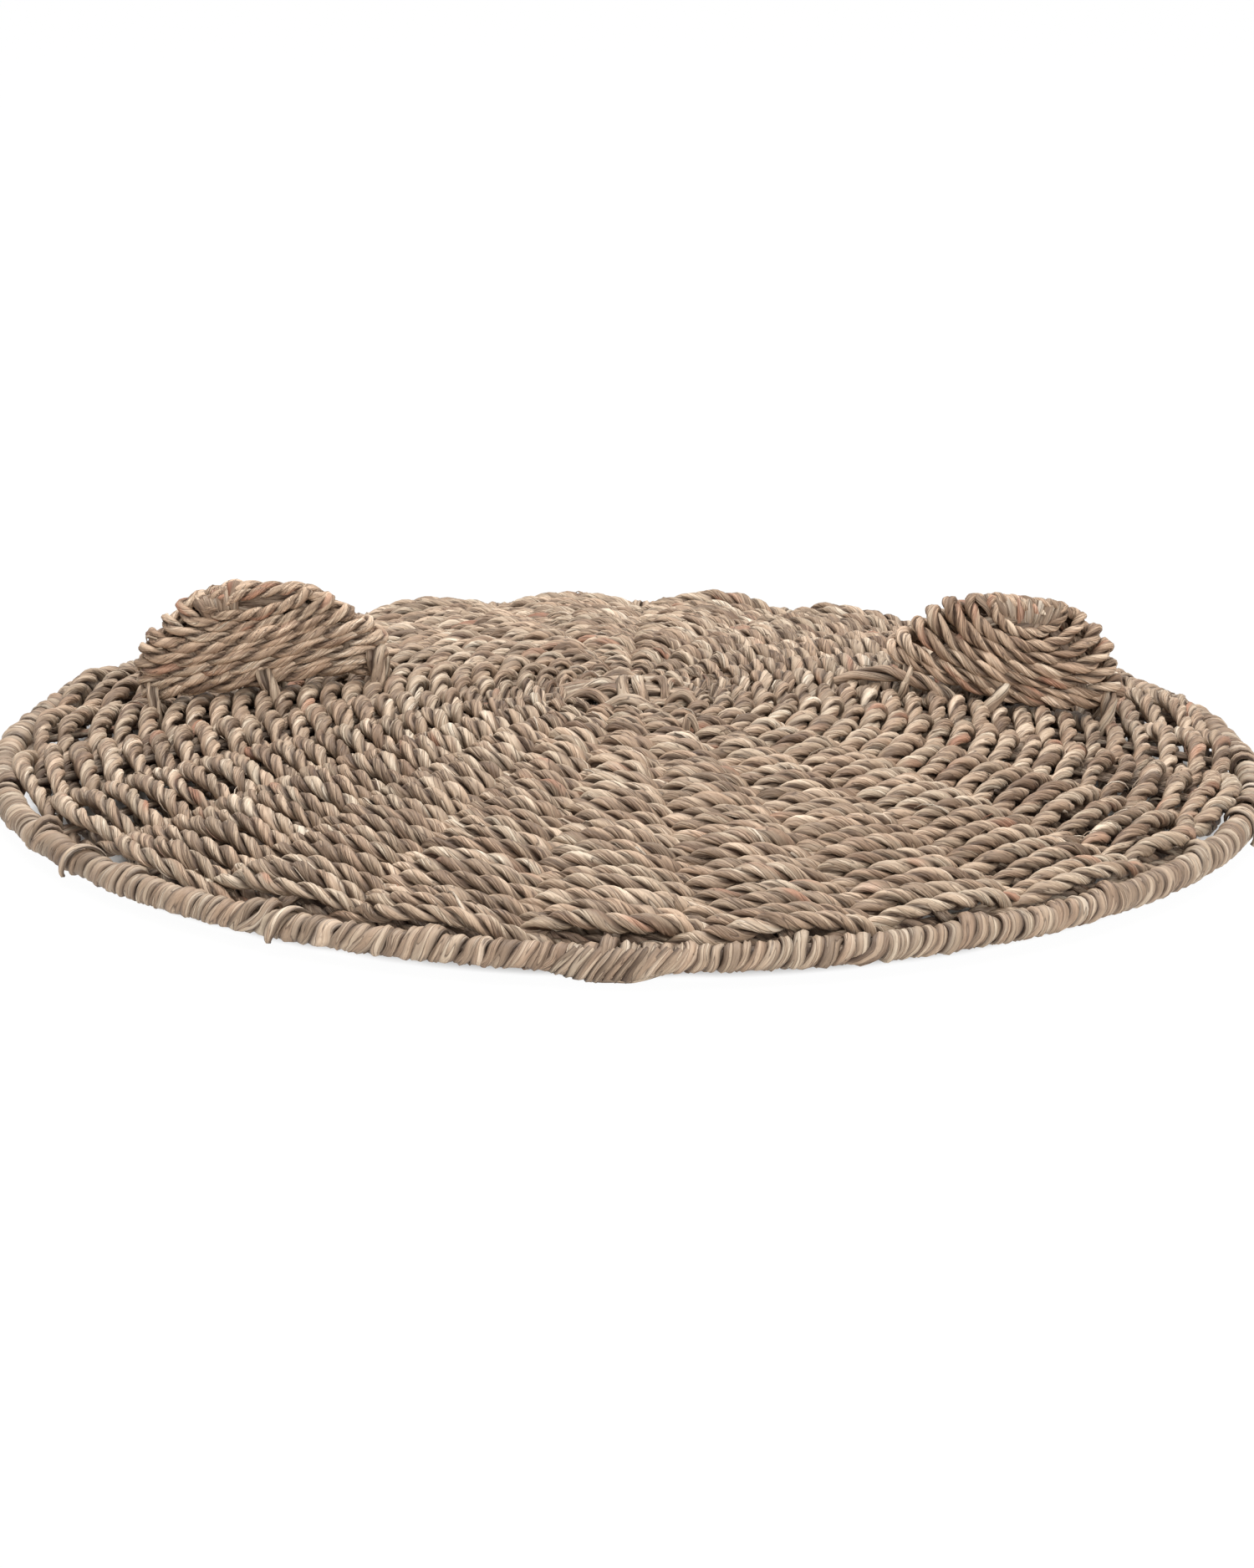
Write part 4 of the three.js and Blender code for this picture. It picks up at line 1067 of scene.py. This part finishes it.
class LID_OT_sew_ears(bpy.types.Operator):
    """Sew the ears on: strands that come up through the crown, cross the foot and go down behind it"""

    bl_idname = "lid.sew_ears"
    bl_label = "Sew ears"

    def execute(self, context):
        sizes = context.scene.lid_ears
        crown = context.scene.lid_weave
        material = seagrass("seagrass_stitches", brightness=0.95)
        self.lay_rope_end(crown, material)
        for side, ear in EARS.items():
            matrix = ear_matrix(crown, ear, own=True)
            face = ear["depth"] / 2 * MM
            for name, step in STITCHES.items():
                mesh = StrandMesh(seed=ear["seed"] + 20 + step)
                middle = ear["ties"][step + 1] * MM
                foot = ear["tie_feet"][step + 1] * MM
                side_face = face if step == 0 else 0.72 * face
                corners = [(side_face + 1.6 * MM, -12 * MM), (side_face + 2.4 * MM, -5 * MM)]
                corners += [(side_face + 1.2 * MM, foot - 1 * MM), (side_face + 0.6 * MM, foot + 2.4 * MM)]
                corners += [(side_face - 2.5 * MM, foot + 4.0 * MM), (0, foot + 4.6 * MM)]
                corners = [(-y, z) for y, z in corners] + corners[-2::-1]
                y, z = through(corners, STITCH_POINTS).T
                lean = (ear["tie_slant"] * MM if step == 0 else 0.0) * (z - foot) / (7 * MM)
                x = middle + lean + 0.5 * MM * wander(mesh.rng, 1.0, 15 * MM, STITCH_POINTS)
                path = np.stack([x, y, z], -1)
                round_corners(path, 6)
                path = transformed(matrix, path)
                up = unit(path - np.array(matrix @ Vector((middle, 0, foot - 5 * MM))))
                radius = sizes.stitch_radius * ear["tie_sizes"][step + 1]
                rope(mesh, path, up, radius, 34 * MM, start=0.1, hollow=0.0, tone=0.58, sliver_every=25 * MM)
                node_name = f"ear_{side}_stitch_{name}"
                mesh.finish(node_name + "_strand", material, "root", "seagrass_strand", node_name)
        return {"FINISHED"}

    def lay_rope_end(self, sizes, material):
        """The end of the right ear's rope, which comes out under its foot and is tucked into the crown."""
        mesh = StrandMesh(seed=95)
        path = through(ROPE_END, STITCH_POINTS) * MM
        round_corners(path, 12)
        path = transformed(ear_matrix(sizes, EARS["right"]), path)
        rope(mesh, path, UP, 2.5 * MM, 24 * MM, tone=0.55, sliver_every=30 * MM)
        mesh.finish("ear_right_rope_end", material, "root", "seagrass_strand")


class LID_OT_dress_wire(bpy.types.Operator):
    """Dress the hoop wire, which lies hidden in the binding, in drawn steel"""

    bl_idname = "lid.dress_wire"
    bl_label = "Dress hoop wire"

    def execute(self, context):
        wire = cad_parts["hoop_wire"]
        material = drawn_wire("drawn_steel_wire")
        for slot in wire.material_slots:
            slot.material = material
        return {"FINISHED"}


# Stage


def seen_directly(tree):
    """1 for rays from the camera, off a shiny surface or through a clear one, else 0."""
    seen = node(tree, "ShaderNodeLightPath", out="Is Camera Ray")
    for kind in ("Is Glossy Ray", "Is Transmission Ray"):
        other = node(tree, "ShaderNodeLightPath", out=kind)
        seen = node(tree, "ShaderNodeMath", {0: seen, 1: other}, operation="MAXIMUM")
    return seen


def white_stage_material():
    """A pale matt floor that looks white to the camera and keeps a soft shadow."""
    material, tree, shader = new_material("white_stage")
    shader.inputs["Base Color"].default_value = hex_colour("#f2f1ef")
    shader.inputs["Roughness"].default_value = 0.9
    glow = node(tree, "ShaderNodeEmission", {"Color": (1, 1, 1, 1), "Strength": 1.0})
    place = node(tree, "ShaderNodeTexCoord", out="Object")
    away = node(tree, "ShaderNodeVectorMath", {0: place}, out="Value", operation="LENGTH")
    edge = {"From Min": HOOP_RADIUS - 16 * MM, "From Max": HOOP_RADIUS - 4 * MM, "To Max": 0.97}
    clear = node(tree, "ShaderNodeMapRange", {"Value": away, **edge})
    share = node(tree, "ShaderNodeMath", {0: seen_directly(tree), 1: clear}, operation="MULTIPLY")
    mixed = node(tree, "ShaderNodeMixShader", {0: share, 1: shader.outputs[0], 2: glow})
    tree.links.new(mixed, tree.nodes["Material Output"].inputs["Surface"])
    return material


def add_softbox(name, place, size, power, target):
    bpy.ops.object.light_add(type="AREA", location=place)
    lamp = bpy.context.object
    lamp.name = name
    lamp.data.shape = "RECTANGLE"
    lamp.data.size, lamp.data.size_y = size
    lamp.data.energy = power
    lamp.rotation_euler = (Vector(target) - Vector(place)).to_track_quat("-Z", "Y").to_euler()


class LID_OT_set_stage(bpy.types.Operator):
    """Set the stage: a pale floor, soft studio light and the camera at the photograph's angle"""

    bl_idname = "lid.set_stage"
    bl_label = "Set stage"

    def execute(self, context):
        sizes = context.scene.lid_stage
        bpy.ops.object.select_all(action="DESELECT")
        tilt = math.atan2(RIM_LOW.z, 2 * HOOP_RADIUS)
        middle = (0, 0, RIM_LOW.z / 2 - 0.3 * MM)
        bpy.ops.mesh.primitive_plane_add(size=sizes.floor_size, location=middle, rotation=(tilt, 0, 0))
        floor = context.object
        floor.name = "stage_floor"
        floor.data.materials.append(white_stage_material())
        world = bpy.data.worlds.new("white_studio")
        context.scene.world = world
        world.use_nodes = True
        tree = world.node_tree
        strength = {"Value": seen_directly(tree), "To Min": 0.6, "To Max": 1.0}
        strength = node(tree, "ShaderNodeMapRange", strength)
        sky = tree.nodes["Background"]
        sky.inputs["Color"].default_value = (1, 1, 1, 1)
        tree.links.new(strength, sky.inputs["Strength"])
        add_softbox("softbox_top", (-0.05, 0.25, 1.9), (1.3, 1.3), 42, (0, 0, 0))
        add_softbox("softbox_front", (0.9, -2.0, 1.2), (1.2, 0.9), 34, (0, 0, 0))
        bpy.ops.object.camera_add()
        camera = context.object
        camera.name = "photo_camera"
        aim = Matrix.Rotation(math.pi / 2 - sizes.elevation, 4, "X") @ Matrix.Rotation(sizes.roll, 4, "Z")
        back = Vector((0, -math.cos(sizes.elevation), math.sin(sizes.elevation))) * sizes.distance
        camera.matrix_world = Matrix.Translation(back + Vector((0, 0, HOOP_HEIGHT))) @ aim
        camera.data.lens = sizes.lens
        camera.data.sensor_width = 36
        camera.data.shift_x = -0.00074
        camera.data.shift_y = -0.0104
        camera.data.clip_start = 0.05
        camera.data.clip_end = 50
        context.scene.camera = camera
        context.scene.view_settings.view_transform = "Standard"
        return {"FINISHED"}


OPERATORS = [
    LID_OT_weave_crown,
    LID_OT_lay_stakes,
    LID_OT_cross_centre,
    LID_OT_tuck_ends,
    LID_OT_bind_rim,
    LID_OT_wind_splice,
    LID_OT_hang_tails,
    LID_OT_weave_ears,
    LID_OT_set_ear_stakes,
    LID_OT_sew_ears,
    LID_OT_dress_wire,
    LID_OT_set_stage,
]
GROUPS = {
    "lid_weave": WeaveSizes,
    "lid_rim": RimSizes,
    "lid_ears": EarSizes,
    "lid_colours": SeagrassColours,
    "lid_stage": StageSizes,
}


class LID_PT_panel(bpy.types.Panel):
    """Lists the lid's pieces and their sizes"""

    bl_idname = "LID_PT_panel"
    bl_label = "Seagrass lid"
    bl_space_type = "VIEW_3D"
    bl_region_type = "UI"
    bl_category = "Lid"

    def draw(self, context):
        for owner, group in GROUPS.items():
            box = self.layout.box()
            for name in group.__annotations__:
                box.prop(getattr(context.scene, owner), name)
        for operator in OPERATORS:
            self.layout.operator(operator.bl_idname)


def register():
    for group in GROUPS.values():
        bpy.utils.register_class(group)
    for operator in OPERATORS:
        bpy.utils.register_class(operator)
    bpy.utils.register_class(LID_PT_panel)
    for owner, group in GROUPS.items():
        setattr(bpy.types.Scene, owner, bpy.props.PointerProperty(type=group))


def unregister():
    for owner in GROUPS:
        delattr(bpy.types.Scene, owner)
    bpy.utils.unregister_class(LID_PT_panel)
    for operator in reversed(OPERATORS):
        bpy.utils.unregister_class(operator)
    for group in reversed(list(GROUPS.values())):
        bpy.utils.unregister_class(group)


def main():
    register()
    bpy.ops.lid.weave_crown()
    bpy.ops.lid.lay_stakes()
    bpy.ops.lid.cross_centre()
    bpy.ops.lid.tuck_ends()
    bpy.ops.lid.bind_rim()
    bpy.ops.lid.wind_splice()
    bpy.ops.lid.hang_tails()
    bpy.ops.lid.weave_ears()
    bpy.ops.lid.set_ear_stakes()
    bpy.ops.lid.sew_ears()
    bpy.ops.lid.dress_wire()
    bpy.ops.lid.set_stage()


if __name__ == "__main__":
    main()
